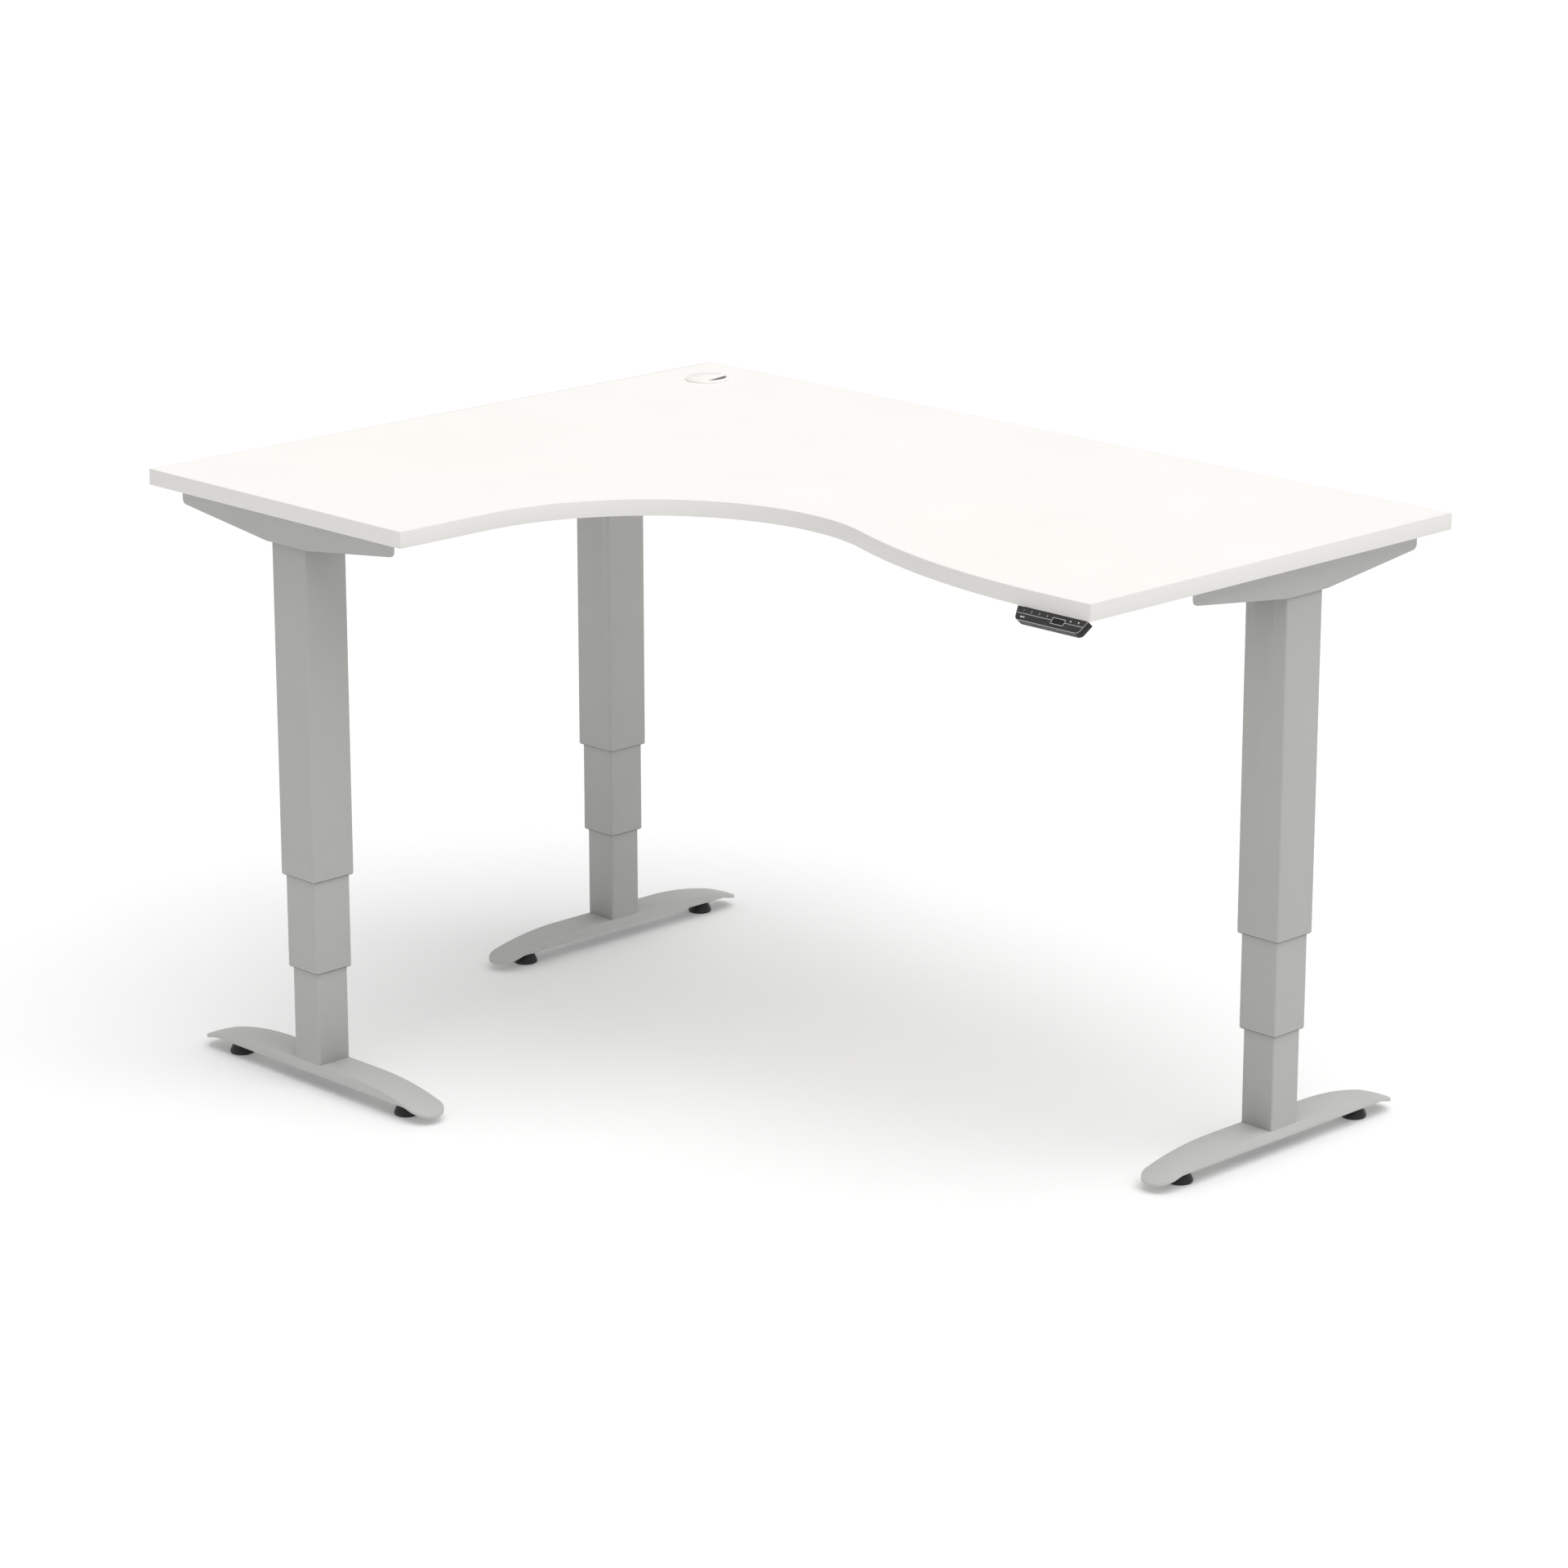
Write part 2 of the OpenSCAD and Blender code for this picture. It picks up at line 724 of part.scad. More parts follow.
// The desktop's outline, moved in by `inset` all round
module desk_outline(inset) {
    curve_radius = hollow_radius + inset;
    beyond_join = hollow_centre + 2 * curve_radius * to_full;
    wing_x = hollow_centre[0] - curve_radius;
    straight_x = full_centre[0] - 40;
    right_x = desk_length / 2 + 1;
    edge_y = front_y + inset;
    difference() {
        square([desk_length - 2 * inset, desk_depth - 2 * inset], center = true);
        translate([wing_x, -desk_depth]) square([right_x - wing_x, desk_depth + turn_y]);
        translate(hollow_centre) circle(curve_radius, $fn = 256);
        difference() {
            polygon([
                hollow_centre, beyond_join, [full_centre[0], beyond_join[1]], [full_centre[0], turn_y]
            ]);
            translate(full_centre) circle(full_radius - inset + arc_lap, $fn = 512);
        }
        translate([straight_x, turn_y - 1]) square([right_x - straight_x, edge_y - turn_y + 1]);
    }
}

// Places of the wood screws, on the underside
module each_wood_screw() {
    for (leg = [LEFT, RIGHT, CORNER]) {
        screw_rows = LEGS[leg][3] > corner_reach ? [-215, -130, 130, 215] : [-215, -130, 100];
        for (row = screw_rows, side = [-1, 1]) at_leg(leg) translate([row, side * wood_screw_side, plate_z]) {
            children();
        }
    }
    for (side = [-1, 1]) {
        translate([side * (box_size[0] / 2 + 9), box_y + 18, plate_z]) children();
        translate([handset_x + side * 40, front_y + flange_back - 8, plate_z]) children();
    }
}

module desktop_board() {
    color(BOARD_WHITE) difference() {
        translate([0, 0, under_z]) linear_extrude(board_thickness) desk_outline(band);
        translate([outlet_x, outlet_y, under_z - 1]) cylinder(h = board_thickness + 2, r = outlet_hole);
        each_wood_screw() cylinder(h = 19, r = 2.2 + screw_clearance);
    }
}

module edge_band() {
    color([0.86, 0.85, 0.83]) translate([0, 0, under_z]) linear_extrude(board_thickness) difference() {
        desk_outline(0);
        desk_outline(band);
    }
}

module desktop_screws() {
    color(ZINC) each_wood_screw() pan_screw(2.2, 18, 4.5, 2.6);
}

// ---- Cable outlet ----

module outlet_sleeve() {
    rim = outlet_rise;
    color(BOARD_WHITE) translate([outlet_x, outlet_y, desk_height]) rotate_extrude($fn = 128) {
        difference() {
            union() {
                translate([sleeve_bore, -board_thickness + 3]) square([2, board_thickness - 3]);
                translate([sleeve_bore, 0]) square([outlet_flange - sleeve_bore - rim / 2, rim]);
                translate([sleeve_bore, 0]) square([outlet_flange - sleeve_bore, rim / 2]);
                translate([outlet_flange - rim / 2, rim / 2]) circle(rim / 2);
            }
            translate([sleeve_bore - 1, cap_seat]) square([cap_radius + 0.3 - sleeve_bore + 1, rim]);
        }
    }
}

module outlet_cap() {
    color(BOARD_WHITE) translate([outlet_x, outlet_y, desk_height + cap_seat]) difference() {
        union() {
            translate([0, 0, 0.1]) cylinder(h = outlet_rise - cap_seat + 0.2, r = cap_radius);
            translate([0, 0, -9]) cylinder(h = 9.2, r = sleeve_bore - 0.3);
        }
        translate([0, 0, -10]) cylinder(h = 10, r = sleeve_bore - 2.3);
        // Cable slot: a segment of the disc beside its rim
        rotate([0, 0, slot_turn]) intersection() {
            translate([slot_inner, -25, -20]) cube([20, 50, 40]);
            translate([0, 0, -20]) cylinder(h = 40, r = sleeve_bore - 0.3);
        }
    }
}

// ---- Control box ----

module control_box() {
    size = box_size;
    color(DARK_PLASTIC) difference() {
        translate([0, box_y, under_z - size[2]]) union() {
            translate([-size[0] / 2, 0, 0]) cube(size);
            translate([-size[0] / 2 - 18, 6, size[2] - sheet]) cube([size[0] + 36, 24, sheet]);
        }
        translate([-size[0] / 2 + box_wall, box_y + box_wall, under_z - size[2] + box_wall]) {
            cube([size[0] - 2 * box_wall, size[1] - 2 * box_wall, size[2]]);
        }
        for (side = [-1, 1]) translate([side * (size[0] / 2 + 9), box_y + 18, plate_z - 1]) {
            cylinder(h = sheet + 2, r = 2.6);
        }
        translate([-size[0] / 2 - 1, inlet_y - inlet_size[1] / 2, socket_z - inlet_size[2] / 2]) {
            cube([box_wall + 2, inlet_size[1], inlet_size[2]]);
        }
    }
    // Circuit board with its larger parts
    floor_z = under_z - size[2] + box_wall;
    color([0.1, 0.35, 0.2]) {
        translate([-90, box_y + 8, floor_z + 4]) cube([200, size[1] - 16, 1.6]);
        for (x = [-95, 85]) translate([x, box_y + 20, floor_z]) cube([8, 8, 4]);
        translate([-40, box_y + 20, floor_z + 5.6]) cube([50, 40, 20]);
    }
}

// Recessed mains inlet with three flat pins
module mains_inlet() {
    size = inlet_size;
    color(BLACK_PLASTIC) translate([-box_size[0] / 2, inlet_y, socket_z]) {
        difference() {
            translate([-2, -size[1] / 2 + 0.1, -size[2] / 2 + 0.1]) {
                cube([size[0] + 2, size[1] - 0.2, size[2] - 0.2]);
            }
            translate([-3, -size[1] / 2 + 2, -size[2] / 2 + 2]) {
                cube([size[0] + 1, size[1] - 4, size[2] - 4]);
            }
        }
        for (pin = [-1, 0, 1]) translate([size[0] - 2 - inlet_pin[0], pin * 7 - 1, pin == 0 ? 1.5 : -4.5]) {
            cube(inlet_pin);
        }
    }
}

// ---- Leads ----

function unit(v) = v / norm(v);
function bend_points(before, corner, after) =
    let (reach = min(lead_bend, norm(corner - before) / 2.2, norm(after - corner) / 2.2),
         start = corner + reach * unit(before - corner),
         end = corner + reach * unit(after - corner))
    [for (t = [0, 0.25, 0.5, 0.75, 1]) (1 - t) * (1 - t) * start + 2 * t * (1 - t) * corner + t * t * end];
function rounded_route(points) = [
    points[0],
    for (i = [1 : len(points) - 2]) each bend_points(points[i - 1], points[i], points[i + 1]),
    points[len(points) - 1]
];
function tangent(route, i) =
    unit(route[min(i + 1, len(route) - 1)] - route[max(i - 1, 0)]);
// Carries one side direction along the route without twist
function side_vectors(route) =
    [for (i = 0, n = unit(cross(tangent(route, 0), [0.1, 0.2, 1]));
          i < len(route);
          i = i + 1, n = i < len(route) ? unit(n - (n * tangent(route, i)) * tangent(route, i)) : n) n];

module lead(points, radius) {
    sides = 8;
    route = rounded_route(points);
    side_dirs = side_vectors(route);
    rings = [
        for (i = [0 : len(route) - 1])
        let (across = side_dirs[i], up = cross(tangent(route, i), across))
        for (k = [0 : sides - 1])
        route[i] + radius * (cos(360 * k / sides) * across + sin(360 * k / sides) * up)
    ];
    last = (len(route) - 1) * sides;
    polyhedron(rings, [
        [for (k = [0 : sides - 1]) k],
        for (i = [0 : len(route) - 2], k = [0 : sides - 1])
        [i * sides + k, (i + 1) * sides + k, (i + 1) * sides + (k + 1) % sides, i * sides + (k + 1) % sides],
        [for (k = [sides - 1 : -1 : 0]) last + k]
    ]);
}

module motor_leads() {
    color(BLACK_PLASTIC) for (route = [LEFT_ROUTE, RIGHT_ROUTE, CORNER_ROUTE]) lead(route, lead_radius);
}

module handset_lead() {
    color(BLACK_PLASTIC) lead(HANDSET_ROUTE, handset_lead_radius);
}

module lead_clips() {
    color(NUT_PLASTIC) for (clip = CLIPS) translate([clip[0], clip[1], under_z]) rotate([0, 0, clip[2]]) {
        radius = clip[3] + hole_gap;
        difference() {
            translate([-5, -radius - 1.2, -clip[4] - radius - 1.2]) {
                cube([10, 2 * radius + 2.4, clip[4] + radius + 1.2]);
            }
            translate([-6, 0, -clip[4]]) rotate([0, 90, 0]) cylinder(h = 12, r = radius);
        }
    }
}

// ---- Handset ----

module at_handset() {
    translate([handset_x, front_y, under_z]) rotate([handset_slope, 0, 0]) children();
}

// Outline of the face up to `back`: the sides lean in towards the rounded front corners
module handset_outline(inset, back) {
    lean = sqrt(1 + face_taper * face_taper);
    half_back = handset_width / 2 + back * face_taper - inset * lean;
    corner = face_corner - inset;
    front = face_corner - handset_drop;
    centre = [handset_width / 2 + front * face_taper - face_corner * lean, front];
    touch = centre + corner / lean * [1, -face_taper];
    polygon([
        [-half_back, back], [-touch[0], touch[1]], [-centre[0], front], [-centre[0], front - corner],
        [centre[0], front - corner], centre, touch, [half_back, back]
    ]);
    for (side = [-1, 1]) translate([side * centre[0], front]) circle(corner + arc_lap);
}

module below_desktop() {
    translate([handset_x - 100, front_y - 60, under_z - 80]) cube([200, 120, 80]);
}

module handset_shell() {
    pocket = handset_thickness - 1.5;
    body = handset_thickness - face_thickness;
    color(DARK_PLASTIC) difference() {
        union() {
            at_handset() translate([0, 0, -handset_thickness]) linear_extrude(body) handset_outline(0, 0);
            // Neck up to the desktop, behind the body's upper edge
            intersection() {
                at_handset() translate([-neck_half, -1, -handset_thickness]) cube([2 * neck_half, 16, body]);
                below_desktop();
            }
            translate([handset_x - neck_half, front_y + 2, plate_z]) {
                cube([2 * neck_half, flange_back - 2, sheet]);
            }
            // Gland of the lead
            translate([handset_x, front_y + gland_start, gland_z]) rotate([-90, 0, 0]) {
                cylinder(h = gland_end - gland_start, r = 3.5);
            }
        }
        at_handset() translate([0, 0, -pocket]) linear_extrude(pocket) handset_outline(2, -2);
        for (side = [-1, 1]) translate([handset_x + side * 40, front_y + flange_back - 8, plate_z - 1]) {
            cylinder(h = sheet + 2, r = 2.6);
        }
    }
}

module handset_face() {
    color(DARK_PLASTIC) at_handset() translate([0, 0, -face_thickness]) difference() {
        linear_extrude(face_thickness) handset_outline(0, 0);
        for (x = KEY_X) translate([x, key_row, -1]) linear_extrude(face_thickness + 2) {
            rounded_rect(key_size[0] + 2 * key_gap, key_size[1] + 2 * key_gap, 1 + key_gap);
        }
    }
}

// Circuit board with one dome switch under each key
module handset_board() {
    board_low = -handset_thickness + 1.5;
    color([0.1, 0.35, 0.2]) at_handset() {
        translate([-55, -19, board_low]) cube([110, 16, 1.6]);
        for (x = KEY_X) translate([x, key_row, board_low + 1.6]) {
            cylinder(h = handset_thickness - 3.1 - key_thickness - 0.6, r = 2.2);
        }
        translate([display_x - 11, -17, board_low + 1.6]) cube([22, 10, 4]);
    }
}

module key(index) {
    color(DARK_PLASTIC) at_handset() translate([KEY_X[index], key_row, -key_thickness]) {
        linear_extrude(key_thickness) rounded_rect(key_size[0], key_size[1], 1);
    }
}

module key_one() { key(0); }
module key_two() { key(1); }
module key_three() { key(2); }
module key_four() { key(3); }
module key_up() { key(4); }
module key_down() { key(5); }

left_foot();
right_foot();
corner_foot();
left_inner_tube();
right_inner_tube();
corner_inner_tube();
foot_plates();
foot_bolts();
inner_guide_bushes();
inner_screw_nuts();
left_middle_tube();
right_middle_tube();
corner_middle_tube();
left_middle_guides();
right_middle_guides();
corner_middle_guides();
left_hollow_screw();
right_hollow_screw();
corner_hollow_screw();
left_drive_screw();
right_drive_screw();
corner_drive_screw();
left_outer_tube();
right_outer_tube();
corner_outer_tube();
outer_guide_bushes();
gearboxes();
motors();
left_bracket();
right_bracket();
corner_bracket();
long_rail();
wing_rail();
column_bolts();
rail_bolts();
desktop_screws();
desktop_board();
edge_band();
outlet_sleeve();
outlet_cap();
control_box();
mains_inlet();
motor_leads();
handset_lead();
lead_clips();
handset_shell();
handset_face();
handset_board();
key_one();
key_two();
key_three();
key_four();
key_up();
key_down();
left_glide_near();
left_glide_far();
right_glide_near();
right_glide_far();
corner_glide_near();
corner_glide_far();
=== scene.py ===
"""Looks of a height adjustable corner desk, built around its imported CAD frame. Units: metres."""

import json
import math

import bmesh
import bpy
from mathutils import Matrix, Vector


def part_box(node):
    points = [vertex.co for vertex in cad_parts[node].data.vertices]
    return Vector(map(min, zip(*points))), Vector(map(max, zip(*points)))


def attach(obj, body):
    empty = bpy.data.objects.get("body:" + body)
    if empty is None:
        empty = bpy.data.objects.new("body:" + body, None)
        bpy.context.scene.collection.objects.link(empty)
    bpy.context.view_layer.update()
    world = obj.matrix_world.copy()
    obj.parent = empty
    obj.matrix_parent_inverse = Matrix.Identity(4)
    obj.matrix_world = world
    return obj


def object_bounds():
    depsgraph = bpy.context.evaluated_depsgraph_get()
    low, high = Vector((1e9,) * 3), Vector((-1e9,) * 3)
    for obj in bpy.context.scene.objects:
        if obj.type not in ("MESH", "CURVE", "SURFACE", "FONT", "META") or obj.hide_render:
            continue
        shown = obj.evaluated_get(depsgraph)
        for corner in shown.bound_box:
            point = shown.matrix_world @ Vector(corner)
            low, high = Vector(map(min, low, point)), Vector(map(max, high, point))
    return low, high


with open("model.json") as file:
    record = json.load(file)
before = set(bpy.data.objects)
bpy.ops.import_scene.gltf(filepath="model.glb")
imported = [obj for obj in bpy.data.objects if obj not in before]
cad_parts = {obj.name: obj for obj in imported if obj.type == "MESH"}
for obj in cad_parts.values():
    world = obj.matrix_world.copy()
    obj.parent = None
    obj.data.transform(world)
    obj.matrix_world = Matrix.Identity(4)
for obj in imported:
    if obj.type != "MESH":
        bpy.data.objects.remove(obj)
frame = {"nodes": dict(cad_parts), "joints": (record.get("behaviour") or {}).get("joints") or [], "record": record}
cad_low, cad_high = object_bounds()
LEGS = ("left", "right", "corner")
MM = 0.001

# ---- Node helpers ----


def new_material(name):
    """A material with a Principled shader, and the two."""
    material = bpy.data.materials.new(name)
    material.use_nodes = True
    nodes = material.node_tree.nodes
    nodes.clear()
    output = nodes.new("ShaderNodeOutputMaterial")
    shader = nodes.new("ShaderNodeBsdfPrincipled")
    material.node_tree.links.new(shader.outputs["BSDF"], output.inputs["Surface"])
    return material, shader


def object_coordinates(material, stretch=(1, 1, 1)):
    """Coordinates in metres that stay with the piece, stretched along its axes."""
    tree = material.node_tree
    source = tree.nodes.new("ShaderNodeTexCoord")
    mapping = tree.nodes.new("ShaderNodeMapping")
    mapping.inputs["Scale"].default_value = stretch
    tree.links.new(source.outputs["Object"], mapping.inputs["Vector"])
    return mapping.outputs["Vector"]


def noise(material, vector, scale, detail=2.0, roughness=0.5):
    tree = material.node_tree
    node = tree.nodes.new("ShaderNodeTexNoise")
    node.inputs["Scale"].default_value = scale
    node.inputs["Detail"].default_value = detail
    node.inputs["Roughness"].default_value = roughness
    tree.links.new(vector, node.inputs["Vector"])
    return node.outputs["Fac"]


def ramp(material, factor, stops):
    """Colours between the stops, each a position and a grey or a colour."""
    tree = material.node_tree
    node = tree.nodes.new("ShaderNodeValToRGB")
    elements = node.color_ramp.elements
    while len(elements) < len(stops):
        elements.new(0.5)
    for element, (position, colour) in zip(elements, stops):
        element.position = position
        grey = (colour, colour, colour) if isinstance(colour, float) else colour
        element.color = (*grey, 1.0)
    tree.links.new(factor, node.inputs["Fac"])
    return node.outputs["Color"]


def span(material, factor, low, high):
    """Carries a noise, which stays near one half, to values from low to high."""
    tree = material.node_tree
    node = tree.nodes.new("ShaderNodeMapRange")
    node.inputs["From Min"].default_value = 0.3
    node.inputs["From Max"].default_value = 0.7
    node.inputs["To Min"].default_value = low
    node.inputs["To Max"].default_value = high
    tree.links.new(factor, node.inputs["Value"])
    return node.outputs["Result"]


def bump(material, height, depth, below=None):
    """A normal from a height that is worth `depth` metres, on top of the one below."""
    tree = material.node_tree
    node = tree.nodes.new("ShaderNodeBump")
    node.inputs["Strength"].default_value = 1.0
    node.inputs["Distance"].default_value = depth
    tree.links.new(height, node.inputs["Height"])
    if below is not None:
        tree.links.new(below, node.inputs["Normal"])
    return node.outputs["Normal"]


def shade(colour, factor):
    return tuple(min(1.0, c * factor) for c in colour)


def moulded(name, colour, roughness, grain, depth, tone=0.03, coat=0.0, shine=0.5):
    """A surface with a fine grain, a soft drift of tone and patches of more and less gloss."""
    material, shader = new_material(name)
    link = material.node_tree.links.new
    where = object_coordinates(material)
    drift = noise(material, where, 4.0, 3.0)
    link(
        ramp(material, drift, [(0.3, shade(colour, 1 - tone)), (0.7, shade(colour, 1 + tone))]),
        shader.inputs["Base Color"],
    )
    handled = noise(material, where, 22.0, 4.0, 0.6)
    link(span(material, handled, roughness - 0.06, roughness + 0.06), shader.inputs["Roughness"])
    coarse = bump(material, noise(material, where, grain * 0.22, 2.0), depth * 1.6)
    fine = bump(material, noise(material, where, grain, 3.0), depth, coarse)
    link(fine, shader.inputs["Normal"])
    shader.inputs["Specular IOR Level"].default_value = shine
    shader.inputs["Coat Weight"].default_value = coat
    shader.inputs["Coat Roughness"].default_value = 0.3
    return material


def metal(name, colour, roughness, stretch, scale):
    """Bare or plated metal with drawn or rolled streaks."""
    material, shader = new_material(name)
    link = material.node_tree.links.new
    where = object_coordinates(material, stretch)
    streaks = noise(material, where, scale, 5.0, 0.65)
    link(
        ramp(material, streaks, [(0.3, shade(colour, 0.86)), (0.7, shade(colour, 1.08))]),
        shader.inputs["Base Color"],
    )
    link(span(material, streaks, roughness - 0.08, roughness + 0.1), shader.inputs["Roughness"])
    link(bump(material, streaks, 0.00002), shader.inputs["Normal"])
    shader.inputs["Metallic"].default_value = 1.0
    return material


# ---- Materials ----

PAINT = (0.425, 0.425, 0.411)
BOARD = (0.945, 0.92, 0.895)
BAND = (0.755, 0.74, 0.715)
CHARCOAL = (0.026, 0.0245, 0.024)
PRINT = (0.72, 0.72, 0.71)
# Acetal as it comes, and black; the lower guide is drawn black up to this height above its lip
NATURAL = (0.76, 0.74, 0.66)
BLACK = (0.03, 0.03, 0.03)
GUIDE_SPLIT = 60 * MM
# Painted light: how much lighter the feet's copy of the frame's powder coat is than the columns', standing in for
# the light that reaches the feet under the desk
FOOT_PAINTED_LIGHT = 1.19
FLOOR_GLOW = 0.1


def powder_coat(name, paint):
    """Satin powder coat: an even colour over an orange peel of about 1 mm, with fine sparkle."""
    material, shader = new_material(name)
    link = material.node_tree.links.new
    where = object_coordinates(material)
    cloud = noise(material, where, 2.2, 2.0)
    speck = noise(material, where, 2600.0, 1.0)
    tree = material.node_tree
    mix = tree.nodes.new("ShaderNodeMix")
    mix.data_type = "RGBA"
    mix.blend_type = "MULTIPLY"
    mix.inputs["Factor"].default_value = 0.35
    tones = [(0.3, shade(paint, 0.985)), (0.7, shade(paint, 1.015))]
    link(ramp(material, cloud, tones), mix.inputs["A"])
    link(ramp(material, speck, [(0.35, 0.86), (0.65, 1.0)]), mix.inputs["B"])
    link(mix.outputs["Result"], shader.inputs["Base Color"])
    link(span(material, noise(material, where, 14.0, 3.0), 0.46, 0.56), shader.inputs["Roughness"])
    peel = bump(material, noise(material, where, 700.0, 2.0), 0.00005)
    link(bump(material, speck, 0.00001, peel), shader.inputs["Normal"])
    return material


def guides_split_by_height(below, above, level):
    """The guides of a middle tube: one colour under a height of the node, another over it."""
    material = moulded("acetal_guides", above, 0.42, 1100.0, 0.00002)
    tree = material.node_tree
    shader = tree.nodes["Principled BSDF"]
    split = tree.nodes.new("ShaderNodeSeparateXYZ")
    tree.links.new(object_coordinates(material), split.inputs["Vector"])
    higher = tree.nodes.new("ShaderNodeMath")
    higher.operation = "GREATER_THAN"
    higher.inputs[1].default_value = level
    tree.links.new(split.outputs["Z"], higher.inputs[0])
    mix = tree.nodes.new("ShaderNodeMix")
    mix.data_type = "RGBA"
    mix.inputs["A"].default_value = (*below, 1.0)
    tree.links.new(higher.outputs["Value"], mix.inputs["Factor"])
    tree.links.new(shader.inputs["Base Color"].links[0].from_socket, mix.inputs["B"])
    tree.links.new(mix.outputs["Result"], shader.inputs["Base Color"])
    return material


def melamine():
    """Melamine facing on the board: a fine pressed texture and a faint warm drift."""
    material, shader = new_material("board_melamine")
    link = material.node_tree.links.new
    where = object_coordinates(material)
    cloud = noise(material, where, 1.4, 2.0)
    warm = (BOARD[0], BOARD[1] * 0.996, BOARD[2] * 0.985)
    link(ramp(material, cloud, [(0.3, BOARD), (0.7, warm)]), shader.inputs["Base Color"])
    link(span(material, noise(material, where, 9.0, 4.0), 0.40, 0.48), shader.inputs["Roughness"])
    pressed = noise(material, object_coordinates(material, (1, 2.5, 1)), 900.0, 3.0)
    link(bump(material, pressed, 0.00003), shader.inputs["Normal"])
    return material


def studio_paper():
    """The pale floor, with a faint glow of its own."""
    material = moulded("studio_floor", (0.88, 0.88, 0.88), 0.7, 40.0, 0.00002, tone=0.004)
    shader = material.node_tree.nodes["Principled BSDF"]
    shader.inputs["Emission Color"].default_value = (1, 1, 1, 1)
    shader.inputs["Emission Strength"].default_value = FLOOR_GLOW
    return material


def make_materials():
    """A material for each slot of the record, and those that only some nodes or pieces have."""
    guide_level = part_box("left_middle_guides")[0].z + GUIDE_SPLIT
    shell = shade(CHARCOAL, 0.5)
    return {
        "frame_paint": powder_coat("frame_powder_coat", PAINT),
        # The feet: the frame's powder coat made lighter, painted light for the light that reaches them under the
        # desk
        "foot_painted_light": powder_coat("foot_powder_coat_painted_light", shade(PAINT, FOOT_PAINTED_LIGHT)),
        "foot_steel": metal("rolled_steel", (0.42, 0.43, 0.44), 0.42, (1, 8, 1), 60.0),
        "zinc": metal("zinc_plate", (0.66, 0.67, 0.68), 0.3, (1, 1, 1), 160.0),
        "guide_plastic": moulded("natural_acetal", NATURAL, 0.42, 1100.0, 0.00002),
        "bush_plastic": moulded("black_acetal", BLACK, 0.4, 1100.0, 0.00002),
        "middle_guides": guides_split_by_height(BLACK, NATURAL, guide_level),
        "screw_steel": metal("greased_steel", (0.36, 0.37, 0.38), 0.28, (1, 1, 30), 40.0),
        "gearbox_plastic": moulded("filled_nylon", (0.028, 0.028, 0.03), 0.5, 1300.0, 0.00004),
        "motor_paint": moulded("motor_black", (0.016, 0.016, 0.016), 0.32, 900.0, 0.00002, coat=0.3),
        "board_face": melamine(),
        "edge_plastic": moulded("edge_band_abs", BAND, 0.4, 1200.0, 0.00002, tone=0.006),
        "outlet_plastic": moulded("outlet_white", (0.925, 0.90, 0.875), 0.38, 1300.0, 0.00002, tone=0.004),
        "box_plastic": moulded("box_black", (0.022, 0.022, 0.023), 0.5, 1500.0, 0.00006),
        "lead_rubber": moulded("lead_sheath", (0.014, 0.014, 0.014), 0.45, 900.0, 0.00003),
        "handset_plastic": moulded("handset_shell_gloss", shell, 0.3, 1600.0, 0.00001, shine=0.26),
        "handset_film": moulded("handset_film_satin", CHARCOAL, 0.34, 1800.0, 0.00001),
        "circuit_board": moulded("solder_mask", (0.02, 0.12, 0.055), 0.3, 500.0, 0.00003, coat=0.5),
        "glide_plastic": moulded("glide_black", (0.009, 0.009, 0.009), 0.42, 1000.0, 0.00003),
        "print": moulded("pale_print", PRINT, 0.5, 2500.0, 0.000005),
        # Near-black: dark seams, and painted shade for the recesses of screws, bolts and vents
        "recess": moulded("recess_shadow", (0.006, 0.006, 0.006), 0.6, 900.0, 0.00001),
        "display": moulded("display_glass", (0.012, 0.012, 0.014), 0.12, 300.0, 0.000002, shine=0.3),
        # Grey for the sheet in the outlet's slot: painted shade inside the slot
        "slot_painted_shade": moulded("slot_painted_shade_grey", (0.27, 0.265, 0.26), 0.6, 1300.0, 0.00002),
        "floor": studio_paper(),
    }


MATERIALS = make_materials()

# ---- Frame nodes ----

# Width of the rounded corners in millimetres, by how a node's name ends or starts
ROUNDING = {
    "foot": 0.9,
    "inner_tube": 0.4,
    "middle_tube": 0.4,
    "outer_tube": 0.4,
    "bracket": 0.5,
    "rail": 0.5,
    "edge_band": 0.6,
    "control_box": 0.8,
    "handset_shell": 0.3,
    "handset_face": 0.12,
    "key": 0.05,
    "glide_near": 0.5,
    "glide_far": 0.5,
    "outlet_cap": 0.3,
    "outlet_sleeve": 0.3,
    "gearboxes": 0.8,
    "motors": 0.8,
    "lead_clips": 0.3,
    "bolts": 0.3,
    "screws": 0.2,
}
CREASE = math.radians(28)
CORNER_ANGLE = math.radians(35)
FLAT_ANGLE = math.radians(0.2)
SAME_PLACE = 0.002 * MM


